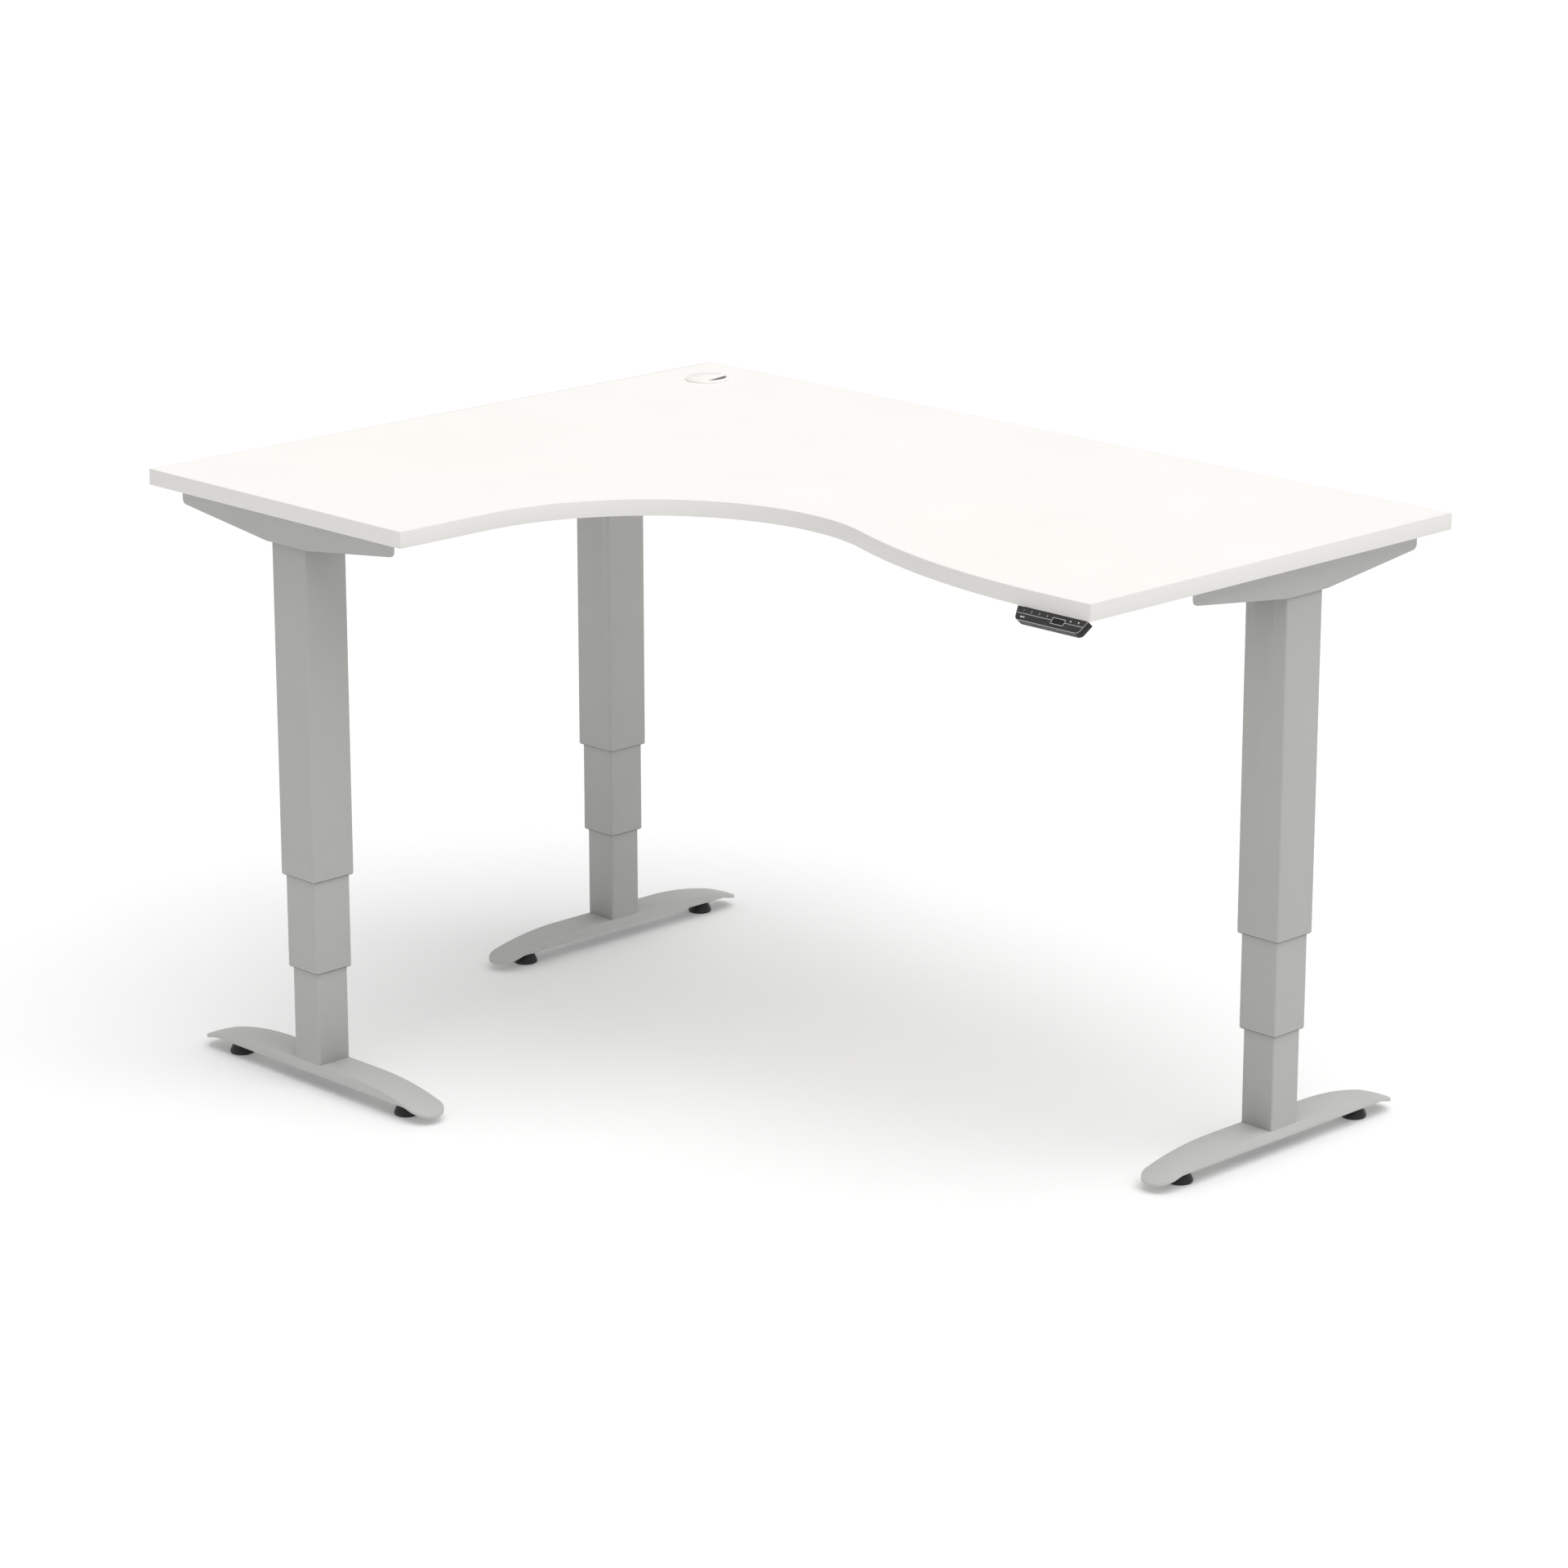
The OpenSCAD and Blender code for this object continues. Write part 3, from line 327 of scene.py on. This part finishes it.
def smooth_by_angle_group():
    """Modifier group that shades smooth across all but the sharp edges."""
    group = bpy.data.node_groups.new("smooth_by_angle", "GeometryNodeTree")
    group.interface.new_socket("Geometry", in_out="INPUT", socket_type="NodeSocketGeometry")
    group.interface.new_socket("Geometry", in_out="OUTPUT", socket_type="NodeSocketGeometry")
    nodes, link = group.nodes, group.links.new
    start, end = nodes.new("NodeGroupInput"), nodes.new("NodeGroupOutput")
    drop = nodes.new("GeometryNodeRemoveAttribute")
    drop.inputs["Name"].default_value = "custom_normal"
    faces = nodes.new("GeometryNodeSetShadeSmooth")
    faces.domain = "FACE"
    edges = nodes.new("GeometryNodeSetShadeSmooth")
    edges.domain = "EDGE"
    angle = nodes.new("GeometryNodeInputMeshEdgeAngle")
    flat = nodes.new("FunctionNodeCompare")
    flat.operation = "LESS_EQUAL"
    flat.inputs["B"].default_value = CREASE
    link(angle.outputs["Unsigned Angle"], flat.inputs["A"])
    link(start.outputs[0], drop.inputs["Geometry"])
    link(drop.outputs["Geometry"], faces.inputs["Geometry"])
    link(faces.outputs["Geometry"], edges.inputs["Geometry"])
    link(flat.outputs["Result"], edges.inputs["Shade Smooth"])
    link(edges.outputs["Geometry"], end.inputs[0])
    return group


SMOOTH = smooth_by_angle_group()


def round_corners(piece, width):
    """Joins the faces of a CAD mesh at their edges and rounds its corners."""
    weld = piece.modifiers.new("join", "WELD")
    weld.merge_threshold = SAME_PLACE
    plain = piece.modifiers.new("plain_faces", "DECIMATE")
    plain.decimate_type = "DISSOLVE"
    plain.angle_limit = FLAT_ANGLE
    corner = piece.modifiers.new("corners", "BEVEL")
    corner.width = width * MM
    corner.segments = 2
    corner.limit_method = "ANGLE"
    corner.angle_limit = CORNER_ANGLE
    corner.miter_outer = "MITER_ARC"
    corner.use_clamp_overlap = True
    smooth = piece.modifiers.new("smooth", "NODES")
    smooth.node_group = SMOOTH


def round_lead(piece):
    """Makes the eight-sided sweep of a lead round."""
    weld = piece.modifiers.new("join", "WELD")
    weld.merge_threshold = SAME_PLACE
    round_up = piece.modifiers.new("round", "SUBSURF")
    round_up.levels = 2
    round_up.render_levels = 2
    smooth = piece.modifiers.new("smooth", "NODES")
    smooth.node_group = SMOOTH


def rounding_of(node):
    """Width of a node's rounded corners, or nothing for one that stays as it is."""
    for ending, width in ROUNDING.items():
        if node.endswith(ending) or node.startswith(ending + "_"):
            return width
    return 0.0


def look_of(node, slot):
    """The material of a node: its slot's, except on the feet, which get a lighter copy of the frame's paint as
    painted light, and on the middle tubes' guides.
    """
    if node.endswith("_foot"):
        return "foot_painted_light"
    if node.endswith("_middle_guides"):
        return "middle_guides"
    return slot


def dress_frame_nodes():
    """Gives each CAD node its material and rounded corners."""
    slots = {s["node"]: s["material_slot"] for s in frame["record"]["subparts"]}
    for node, piece in frame["nodes"].items():
        piece.data.materials.clear()
        piece.data.materials.append(MATERIALS[look_of(node, slots[node])])
        width = rounding_of(node)
        if width:
            round_corners(piece, width)
        if node.endswith("_leads") or node == "handset_lead":
            round_lead(piece)


# ---- Pieces made here ----


def piece_from(name, mesh, material, body):
    """Links a mesh as a piece that moves with a body and takes its finish from a slot."""
    piece = bpy.data.objects.new(name, mesh)
    bpy.context.scene.collection.objects.link(piece)
    mesh.materials.append(MATERIALS[material])
    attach(piece, body)


def mesh_from(name, builder):
    """A mesh that `builder` fills through bmesh."""
    work = bmesh.new()
    builder(work)
    bmesh.ops.recalc_face_normals(work, faces=work.faces)
    mesh = bpy.data.meshes.new(name)
    work.to_mesh(mesh)
    work.free()
    return mesh


def built_piece(name, builder, material, body):
    """A piece whose mesh `builder` fills."""
    piece_from(name, mesh_from(name, builder), material, body)


def add_prism(work, outline, place, low, high):
    """A closed prism over an outline of (x, y) points, between two heights."""
    rings = [[work.verts.new(place @ Vector((x, y, z))) for x, y in outline] for z in (low, high)]
    work.faces.new(list(reversed(rings[0])))
    work.faces.new(rings[1])
    count = len(outline)
    for i in range(count):
        j = (i + 1) % count
        work.faces.new((rings[0][i], rings[0][j], rings[1][j], rings[1][i]))


def add_band(work, outer, inner, place, low, high):
    """A closed band between two outlines with the same number of points."""
    outer_low, outer_high, inner_low, inner_high = (
        [work.verts.new(place @ Vector((*point, z))) for point in ring]
        for ring in (outer, inner)
        for z in (low, high)
    )
    count = len(outer)
    for i in range(count):
        j = (i + 1) % count
        work.faces.new((outer_low[i], outer_low[j], outer_high[j], outer_high[i]))
        work.faces.new((inner_high[i], inner_high[j], inner_low[j], inner_low[i]))
        work.faces.new((outer_high[i], outer_high[j], inner_high[j], inner_high[i]))
        work.faces.new((inner_low[i], inner_low[j], outer_low[j], outer_low[i]))


def rounded_outline(width, depth, radius, steps=6):
    """Points of a rounded rectangle about its centre, anticlockwise."""
    points = []
    for quarter, (sx, sy) in enumerate(((1, 1), (-1, 1), (-1, -1), (1, -1))):
        centre = (sx * (width / 2 - radius), sy * (depth / 2 - radius))
        for step in range(steps + 1):
            angle = math.radians(90 * quarter + 90 * step / steps)
            x, y = radius * math.cos(angle), radius * math.sin(angle)
            points.append((centre[0] + x, centre[1] + y))
    return points


def ring_outline(radius, count):
    """Points of a regular polygon about the origin, anticlockwise."""
    angles = (2 * math.pi * i / count for i in range(count))
    return [(radius * math.cos(a), radius * math.sin(a)) for a in angles]


def stroke_outline(line, width):
    """Outline of a line of (x, y) points drawn with a pen of that width."""
    left, right = [], []
    for i, point in enumerate(line):
        before, after = line[max(i - 1, 0)], line[min(i + 1, len(line) - 1)]
        dx, dy = after[0] - before[0], after[1] - before[1]
        size = math.hypot(dx, dy)
        nx, ny = -dy / size * width / 2, dx / size * width / 2
        left.append((point[0] + nx, point[1] + ny))
        right.append((point[0] - nx, point[1] - ny))
    return right + list(reversed(left))


# ---- Handset ----

PRINT_HEIGHT = 0.04 * MM
LINE = 0.55 * MM
DIGIT_SIZE = 4.6 * MM
ARROW_HALF = 1.7 * MM
# The face: half its length at the desk's edge, its depth, the lean of its ends, its corners' radius
FACE_HALF = 66.5 * MM
FACE_DROP = 21.8 * MM
FACE_LEAN = 0.32
FACE_CORNER = 9 * MM
DISPLAY_AT = (16 * MM, -10.4 * MM)
DISPLAY_SIZE = (23.8 * MM, 10.2 * MM)
# Where the lines on the face begin and end, and the two strokes of the mark
MIDDLE_LINE_ENDS = (-61 * MM, 62.6 * MM)
FRONT_LINE_START = -54 * MM
FRONT_LINE_TOP = -0.7 * MM
MARK_WIDTH = 1.7 * MM
MARK_Y = -15.5 * MM
MARK_LONG = (-52.4 * MM, -47.6 * MM)
MARK_SHORT = (-46.8 * MM, -44.4 * MM)


def handset_place():
    """Matrix of the handset's face, from its upper edge: x along it, y up the face, z out of it."""
    press = next(j for j in frame["joints"] if j["name"] == "key_one_press")
    out = -Vector(press["axis"]).normalized()
    face = frame["nodes"]["handset_face"]
    level = max(v.co.dot(out) for v in face.data.vertices)
    low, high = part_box("handset_face")
    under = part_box("desktop_board")[0].z
    origin = Vector(((low.x + high.x) / 2, (level - out.z * under) / out.y, under))
    across = Vector((1, 0, 0))
    axes = Matrix((across, out.cross(across), out)).transposed()
    return Matrix.Translation(origin) @ axes.to_4x4()


def centre_on_face(node, place):
    """Centre of a node's box in the face's own x and y."""
    low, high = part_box(node)
    local = place.inverted() @ ((low + high) / 2)
    return local.x, local.y


def digit_mesh(text, place, x, y, height):
    """A raised digit from the built-in font, centred on (x, y)."""
    curve = bpy.data.curves.new("digit_" + text, "FONT")
    curve.body = text
    curve.size = height
    curve.extrude = PRINT_HEIGHT / 2
    curve.resolution_u = 4
    source = bpy.data.objects.new("digit_source_" + text, curve)
    bpy.context.scene.collection.objects.link(source)
    bpy.context.view_layer.update()
    depsgraph = bpy.context.evaluated_depsgraph_get()
    mesh = bpy.data.meshes.new_from_object(source.evaluated_get(depsgraph))
    bpy.data.objects.remove(source)
    low = [min(v.co[i] for v in mesh.vertices) for i in (0, 1)]
    high = [max(v.co[i] for v in mesh.vertices) for i in (0, 1)]
    shift = (x - (low[0] + high[0]) / 2, y - (low[1] + high[1]) / 2, PRINT_HEIGHT / 2)
    mesh.transform(place @ Matrix.Translation(shift))
    mesh.name = "digit_" + text
    return mesh


def prism_mesh(name, outline, place):
    """A print of that outline."""
    return mesh_from(name, lambda work: add_prism(work, outline, place, 0, PRINT_HEIGHT))


def add_key_prints(place):
    """Digits and arrows, each on its own key."""
    for text, name in zip("1234", ("one", "two", "three", "four")):
        x, y = centre_on_face("key_" + name, place)
        mesh = digit_mesh(text, place, x, y, DIGIT_SIZE)
        piece_from("print_" + name, mesh, "print", "key_" + name)
    for name, turn in (("up", 1), ("down", -1)):
        x, y = centre_on_face("key_" + name, place)
        foot, tip = y - turn * ARROW_HALF * 0.8, y + turn * ARROW_HALF
        outline = [(x - ARROW_HALF, foot), (x + ARROW_HALF, foot), (x, tip)]
        if turn < 0:
            outline.reverse()
        mesh = prism_mesh("arrow_" + name, outline, place)
        piece_from("print_" + name, mesh, "print", "key_" + name)


def add_display(place):
    """The display window and the pale line round it."""
    centre = place @ Matrix.Translation((*DISPLAY_AT, 0))
    width, depth = DISPLAY_SIZE
    outer = rounded_outline(width, depth, 0.5 * MM)
    inner = rounded_outline(width - 2 * LINE, depth - 2 * LINE, 0.3 * MM)
    window = rounded_outline(width - 5 * LINE, depth - 5 * LINE, 0.3 * MM)

    def surround(work):
        add_band(work, outer, inner, centre, 0, PRINT_HEIGHT)

    built_piece("display_line", surround, "print", "top")
    glass = prism_mesh("display_window", window, centre)
    piece_from("display_window", glass, "display", "top")


def front_line():
    """The line along the front edge, round the right corner and up the right side."""
    reach = FACE_HALF - FACE_LEAN * (FACE_DROP - FACE_CORNER) - FACE_CORNER * math.hypot(1, FACE_LEAN)
    level = FACE_CORNER - FACE_DROP
    radius = FACE_CORNER - LINE
    end = -math.degrees(math.atan(FACE_LEAN))
    line = [(FRONT_LINE_START, level - radius), (reach - 2 * MM, level - radius)]
    steps = 12
    for step in range(steps + 1):
        angle = math.radians(-90 + (90 + end) * step / steps)
        line.append((reach + radius * math.cos(angle), level + radius * math.sin(angle)))
    x, y = line[-1]
    line.append((x + (FRONT_LINE_TOP - y) * FACE_LEAN, FRONT_LINE_TOP))
    return line


def add_face_lines(place):
    """The pale lines across and round the face, and a small generic mark."""
    middle = DISPLAY_AT[1] + 0.2 * MM
    left, right = (DISPLAY_AT[0] + side * DISPLAY_SIZE[0] / 2 for side in (-1, 1))
    lines = {
        "line_middle_left": (LINE, [(MIDDLE_LINE_ENDS[0], middle), (left, middle)]),
        "line_middle_right": (LINE, [(right, middle), (MIDDLE_LINE_ENDS[1], middle)]),
        "line_front": (LINE, front_line()),
        "mark_long": (MARK_WIDTH, [(x, MARK_Y) for x in MARK_LONG]),
        "mark_short": (MARK_WIDTH, [(x, MARK_Y) for x in MARK_SHORT]),
    }
    for name, (width, line) in lines.items():
        mesh = prism_mesh(name, stroke_outline(line, width), place)
        piece_from(name, mesh, "print", "top")


def add_handset_graphics():
    place = handset_place()
    add_key_prints(place)
    add_display(place)
    add_face_lines(place)


# ---- Columns ----

DIMPLE_RADIUS = 2.6 * MM
DIMPLE_SIDE = 12.5 * MM
DIMPLE_ABOVE = 20 * MM
DIMPLE_STEPS = 20
# From the rim to the centre: share of the radius, and height in millimetres
DIMPLE_PROFILE = ((1.0, -0.02), (0.94, 0.05), (0.8, 0.07), (0.62, 0.03), (0.0, 0.012))


def add_dimple(work, place):
    """A shallow pressed ring, almost flush with the tube."""
    rings = [
        [
            work.verts.new(place @ Vector((x, y, height * MM)))
            for x, y in ring_outline(share * DIMPLE_RADIUS, DIMPLE_STEPS)
        ]
        for share, height in DIMPLE_PROFILE[:-1]
    ]
    top = work.verts.new(place @ Vector((0, 0, DIMPLE_PROFILE[-1][1] * MM)))
    for i in range(DIMPLE_STEPS):
        j = (i + 1) % DIMPLE_STEPS
        for outer, inner in zip(rings, rings[1:]):
            work.faces.new((outer[i], outer[j], inner[j], inner[i]))
        work.faces.new((rings[-1][i], rings[-1][j], top))
    work.faces.new(list(reversed(rings[0])))


def add_tube_dimples(node, body):
    """Two dimples on each face of a tube, above its lower end."""
    low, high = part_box(node)
    centre = (low + high) / 2
    half = (high.x - low.x) / 2
    base = Matrix.Translation((centre.x, centre.y, low.z + DIMPLE_ABOVE))
    outwards = Matrix.Rotation(math.pi / 2, 4, "Y")

    def build(work):
        for quarter in range(4):
            turn = Matrix.Rotation(math.pi / 2 * quarter, 4, "Z")
            for side in (-1, 1):
                spot = Matrix.Translation((half, side * DIMPLE_SIDE, 0)) @ outwards
                add_dimple(work, base @ turn @ spot)

    built_piece(node + "_dimples", build, "frame_paint", body)


def add_dimples():
    for leg in LEGS:
        for tube, body in (("outer", "top"), ("middle", leg + "_stage")):
            add_tube_dimples(f"{leg}_{tube}_tube", body)


# ---- Cable outlet ----

# The slot's straight wall: its distance from the middle, its turn in degrees, half its length
SLOT_CHORD = 18.5 * MM
SLOT_TURN = 10
SLOT_HALF = 24.4 * MM
SLOT_RIBS = 49
RIB_DEPTH = 0.25 * MM


def add_slot_painted_shade():
    """Painted shade: a grey ribbed sheet on the straight wall of the cap's slot, standing in for the shade inside
    the slot.
    """
    low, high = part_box("outlet_cap")
    middle = (low + high) / 2
    turn = Matrix.Rotation(math.radians(SLOT_TURN), 4, "Z")
    place = Matrix.Translation((middle.x, middle.y, 0)) @ turn
    inner, outer = SLOT_CHORD - 0.1 * MM, SLOT_CHORD + 0.4 * MM
    first, pitch = -(SLOT_RIBS // 2), SLOT_HALF / (SLOT_RIBS / 2)
    ribs = [(outer + RIB_DEPTH * (i % 2), pitch * (first + i)) for i in range(SLOT_RIBS)]
    outline = [(inner, -SLOT_HALF), *ribs, (inner, SLOT_HALF)]

    def build(work):
        add_prism(work, outline, place, low.z + MM, high.z - 0.5 * MM)

    built_piece("slot_painted_shade", build, "slot_painted_shade", "outlet_cap")


# ---- Fasteners ----

RECESS_HEIGHT = 0.04 * MM
SCREW_CROSS = (2.3 * MM, 0.9 * MM)
BOLT_SOCKET = 2.9 * MM


def solid_boxes(node):
    """Low and high corners of each separate solid of a CAD node."""
    mesh = frame["nodes"][node].data
    keys = [tuple(round(c * 1e5) for c in v.co) for v in mesh.vertices]
    parent = {key: key for key in keys}

    def root(key):
        while parent[key] != key:
            parent[key] = parent[parent[key]]
            key = parent[key]
        return key

    for polygon in mesh.polygons:
        first = root(keys[polygon.vertices[0]])
        for index in polygon.vertices[1:]:
            parent[root(keys[index])] = first
    groups = {}
    for key, vertex in zip(keys, mesh.vertices):
        groups.setdefault(root(key), []).append(vertex.co)
    return [
        tuple(Vector([pick(c[i] for c in corners) for i in range(3)]) for pick in (min, max))
        for corners in groups.values()
    ]


def cross_outline(reach, width):
    """Outline of a cross with pointed ends."""
    half = width / 2
    arm = [(half, half), (reach * 0.8, half), (reach, 0), (reach * 0.8, -half)]
    points = []
    for quarter in range(4):
        c, s = math.cos(-math.pi / 2 * quarter), math.sin(-math.pi / 2 * quarter)
        points += [(c * x - s * y, s * x + c * y) for x, y in arm]
    return list(reversed(points))


def add_recesses(node, outline, body):
    """A dark mark under the head of each screw of a node whose screws point up: painted shade standing in for the
    recess in the head.
    """

    def build(work):
        for low, high in solid_boxes(node):
            middle = (low + high) / 2
            place = Matrix.Translation((middle.x, middle.y, low.z))
            add_prism(work, outline, place, -RECESS_HEIGHT, RECESS_HEIGHT)

    built_piece(node + "_recesses", build, "recess", body)


def add_fastener_details():
    """Crosses in the heads of the screws, and six-sided sockets in those of the bolts, both flat dark marks
    painted as the shade in them.
    """
    add_recesses("desktop_screws", cross_outline(*SCREW_CROSS), "top")
    add_recesses("foot_bolts", ring_outline(BOLT_SOCKET, 6), "base")


# ---- Motors ----

# Radii outwards from the axis, and depths along it from the motor's free end
MOTOR_RADIUS = 18.5 * MM
CAP_INNER = 12 * MM
CAP_DEPTH = (-7 * MM, 0.6 * MM)
SEAM_INNER = 17 * MM
SEAM_DEPTH = (-70 * MM, -64 * MM)
CAP_SCREW_RADIUS = 1.9 * MM
CAP_SCREW_AT = 14.6 * MM
CAP_SCREW_DEPTH = (0, 1.5 * MM)
LEAD_RADIUS = 2.6 * MM
# Radius and depths of each step of the grommet
GROMMET = ((5.4 * MM, -1 * MM, 3 * MM), (4.2 * MM, 3 * MM, 9 * MM))


def motor_places():
    """For each leg, a matrix at the motor's free end: z along its axis, out of the end."""
    tubes = {leg: sum(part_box(leg + "_outer_tube"), Vector()) / 2 for leg in LEGS}
    places = []
    for low, high in solid_boxes("motors"):
        middle = (low + high) / 2
        if min(LEGS, key=lambda leg: (tubes[leg] - middle).length) == "left":
            end, turn = (low.x, middle.y, middle.z), Matrix.Rotation(-math.pi / 2, 4, "Y")
        else:
            end, turn = (middle.x, low.y, middle.z), Matrix.Rotation(math.pi / 2, 4, "X")
        places.append(Matrix.Translation(end) @ turn)
    return places


def add_motor_caps():
    """End bell of each motor, with its two screws and the grommet of the lead."""
    places = motor_places()

    def bells(work):
        rim = ring_outline(MOTOR_RADIUS, 64)
        for place in places:
            add_band(work, rim, ring_outline(CAP_INNER, 64), place, *CAP_DEPTH)
            add_band(work, rim, ring_outline(SEAM_INNER, 64), place, *SEAM_DEPTH)

    def screws(work):
        for place in places:
            for side in (-1, 1):
                head = place @ Matrix.Translation((0, side * CAP_SCREW_AT, 0))
                add_prism(work, ring_outline(CAP_SCREW_RADIUS, 24), head, *CAP_SCREW_DEPTH)

    def grommets(work):
        bore = ring_outline(LEAD_RADIUS, 32)
        for place in places:
            for radius, start, end in GROMMET:
                add_band(work, ring_outline(radius, 32), bore, place, start, end)

    built_piece("motor_end_bells", bells, "zinc", "top")
    built_piece("motor_end_screws", screws, "screw_steel", "top")
    built_piece("motor_grommets", grommets, "lead_rubber", "top")


# ---- Control box ----

BOX_HALF = 120 * MM
BOX_DEPTH = 90 * MM
BOX_RADIUS = 0.8 * MM
SEAM_LEVELS = (9 * MM, 24 * MM)
SEAM_WIDTH = 0.5 * MM
VENTS_EACH_SIDE = 9
VENT_FROM = 38 * MM
VENT_PITCH = 7.5 * MM
BOX_SCREWS = [(x * MM, y * MM) for x in (-110, 110) for y in (-36, 36)]
BOX_SCREW_RADIUS = 3.2 * MM
BOX_SCREW_HEIGHT = 0.8 * MM
BOX_CROSS = (2 * MM, 0.7 * MM)
# The end of the box that each plug is in, and its place across the desk
PLUGS = ((-1, 110 * MM), (-1, 124 * MM), (1, 124 * MM), (1, 94 * MM))
PLUG_RIBS = 3


def add_control_box_details():
    """Seams, vents, screws and the plugs of the leads."""
    low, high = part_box("control_box")
    middle = (low + high) / 2
    base = Matrix.Translation((middle.x, middle.y, low.z))

    def seams(work):
        grown, shrunk = 0.1 * MM, -1 * MM
        outer, inner = (
            rounded_outline(2 * BOX_HALF + extra, BOX_DEPTH + extra, BOX_RADIUS)
            for extra in (grown, shrunk)
        )
        for level in SEAM_LEVELS:
            add_band(work, outer, inner, base, level, level + SEAM_WIDTH)

    # Vents as flat dark slots: painted shade where the openings are
    def vents(work):
        slot = rounded_outline(3 * MM, 22 * MM, 1.5 * MM)
        for side in (-1, 1):
            for step in range(VENTS_EACH_SIDE):
                spot = Matrix.Translation((side * (VENT_FROM + VENT_PITCH * step), 0, 0))
                add_prism(work, slot, base @ spot, -RECESS_HEIGHT, RECESS_HEIGHT)

    def screws(work):
        for x, y in BOX_SCREWS:
            spot = base @ Matrix.Translation((x, y, 0))
            add_prism(work, ring_outline(BOX_SCREW_RADIUS, 24), spot, -BOX_SCREW_HEIGHT, 0)

    # Flat dark crosses: painted shade for the recesses in the screws' heads
    def crosses(work):
        for x, y in BOX_SCREWS:
            spot = base @ Matrix.Translation((x, y, -BOX_SCREW_HEIGHT))
            add_prism(work, cross_outline(*BOX_CROSS), spot, -RECESS_HEIGHT, RECESS_HEIGHT)

    def plugs(work):
        body = rounded_outline(10 * MM, 11.4 * MM, 1.5 * MM)
        neck = rounded_outline(8 * MM, 9 * MM, 3.5 * MM)
        rib = ring_outline(3.7 * MM, 24)
        for side, y in PLUGS:
            turn = Matrix.Rotation(side * math.pi / 2, 4, "Y")
            place = Matrix.Translation((side * BOX_HALF, y, middle.z)) @ turn
            add_prism(work, body, place, -1 * MM, 9 * MM)
            add_prism(work, neck, place, 9 * MM, 12 * MM)
            for step in range(PLUG_RIBS):
                start = (12.6 + 1.8 * step) * MM
                add_prism(work, rib, place, start, start + 1.1 * MM)

    built_piece("box_seams", seams, "recess", "top")
    built_piece("box_vents", vents, "recess", "top")
    built_piece("box_screws", screws, "zinc", "top")
    built_piece("box_screw_crosses", crosses, "recess", "top")
    built_piece("lead_plugs", plugs, "lead_rubber", "top")


# ---- Studio ----

# Camera: degrees about Z and below level, place in metres, lens in millimetres
VIEW_AZIMUTH = 45.567
VIEW_DOWN = 16.163
EYE = (5.2803, -5.1855, 2.6272)
LENS = 114.6
SENSOR = 36
FLOOR_SIZE = 60
WORLD_LIGHT = 0.55
# Sun: where it stands, the radiance it gives, its spread in degrees
KEY_TOWARDS = (0.36, 0.0, 0.933)
KEY_RADIANCE = 0.62
KEY_SPREAD = 64


def add_camera():
    data = bpy.data.cameras.new("camera")
    data.lens = LENS
    data.sensor_width = SENSOR
    data.clip_end = 200
    camera = bpy.data.objects.new("camera", data)
    camera.location = EYE
    camera.rotation_euler = (math.radians(90 - VIEW_DOWN), 0, math.radians(VIEW_AZIMUTH))
    bpy.context.scene.collection.objects.link(camera)
    bpy.context.scene.camera = camera


def add_sky_light(name, towards, radiance, spread):
    """A distant soft light: white board that faces it shows `radiance` from it."""
    data = bpy.data.lights.new(name, "SUN")
    data.energy = radiance * math.pi
    data.angle = math.radians(spread)
    light = bpy.data.objects.new(name, data)
    light.rotation_euler = Vector(towards).to_track_quat("Z", "Y").to_euler()
    bpy.context.scene.collection.objects.link(light)


def add_floor():
    """The pale plain floor, far wider than the view."""

    def build(work):
        bmesh.ops.create_grid(work, x_segments=12, y_segments=12, size=FLOOR_SIZE)

    mesh = mesh_from("studio_floor", build)
    floor = bpy.data.objects.new("studio_floor", mesh)
    mesh.materials.append(MATERIALS["floor"])
    floor.location.z = cad_low.z
    bpy.context.scene.collection.objects.link(floor)


def add_studio():
    add_camera()
    add_floor()
    world = bpy.data.worlds.new("studio")
    world.use_nodes = True
    background = world.node_tree.nodes["Background"]
    background.inputs["Color"].default_value = (1, 1, 1, 1)
    background.inputs["Strength"].default_value = WORLD_LIGHT
    scene = bpy.context.scene
    scene.world = world
    scene.view_settings.view_transform = "Standard"
    add_sky_light("key", KEY_TOWARDS, KEY_RADIANCE, KEY_SPREAD)


dress_frame_nodes()
add_handset_graphics()
add_dimples()
add_slot_painted_shade()
add_fastener_details()
add_motor_caps()
add_control_box_details()
add_studio()
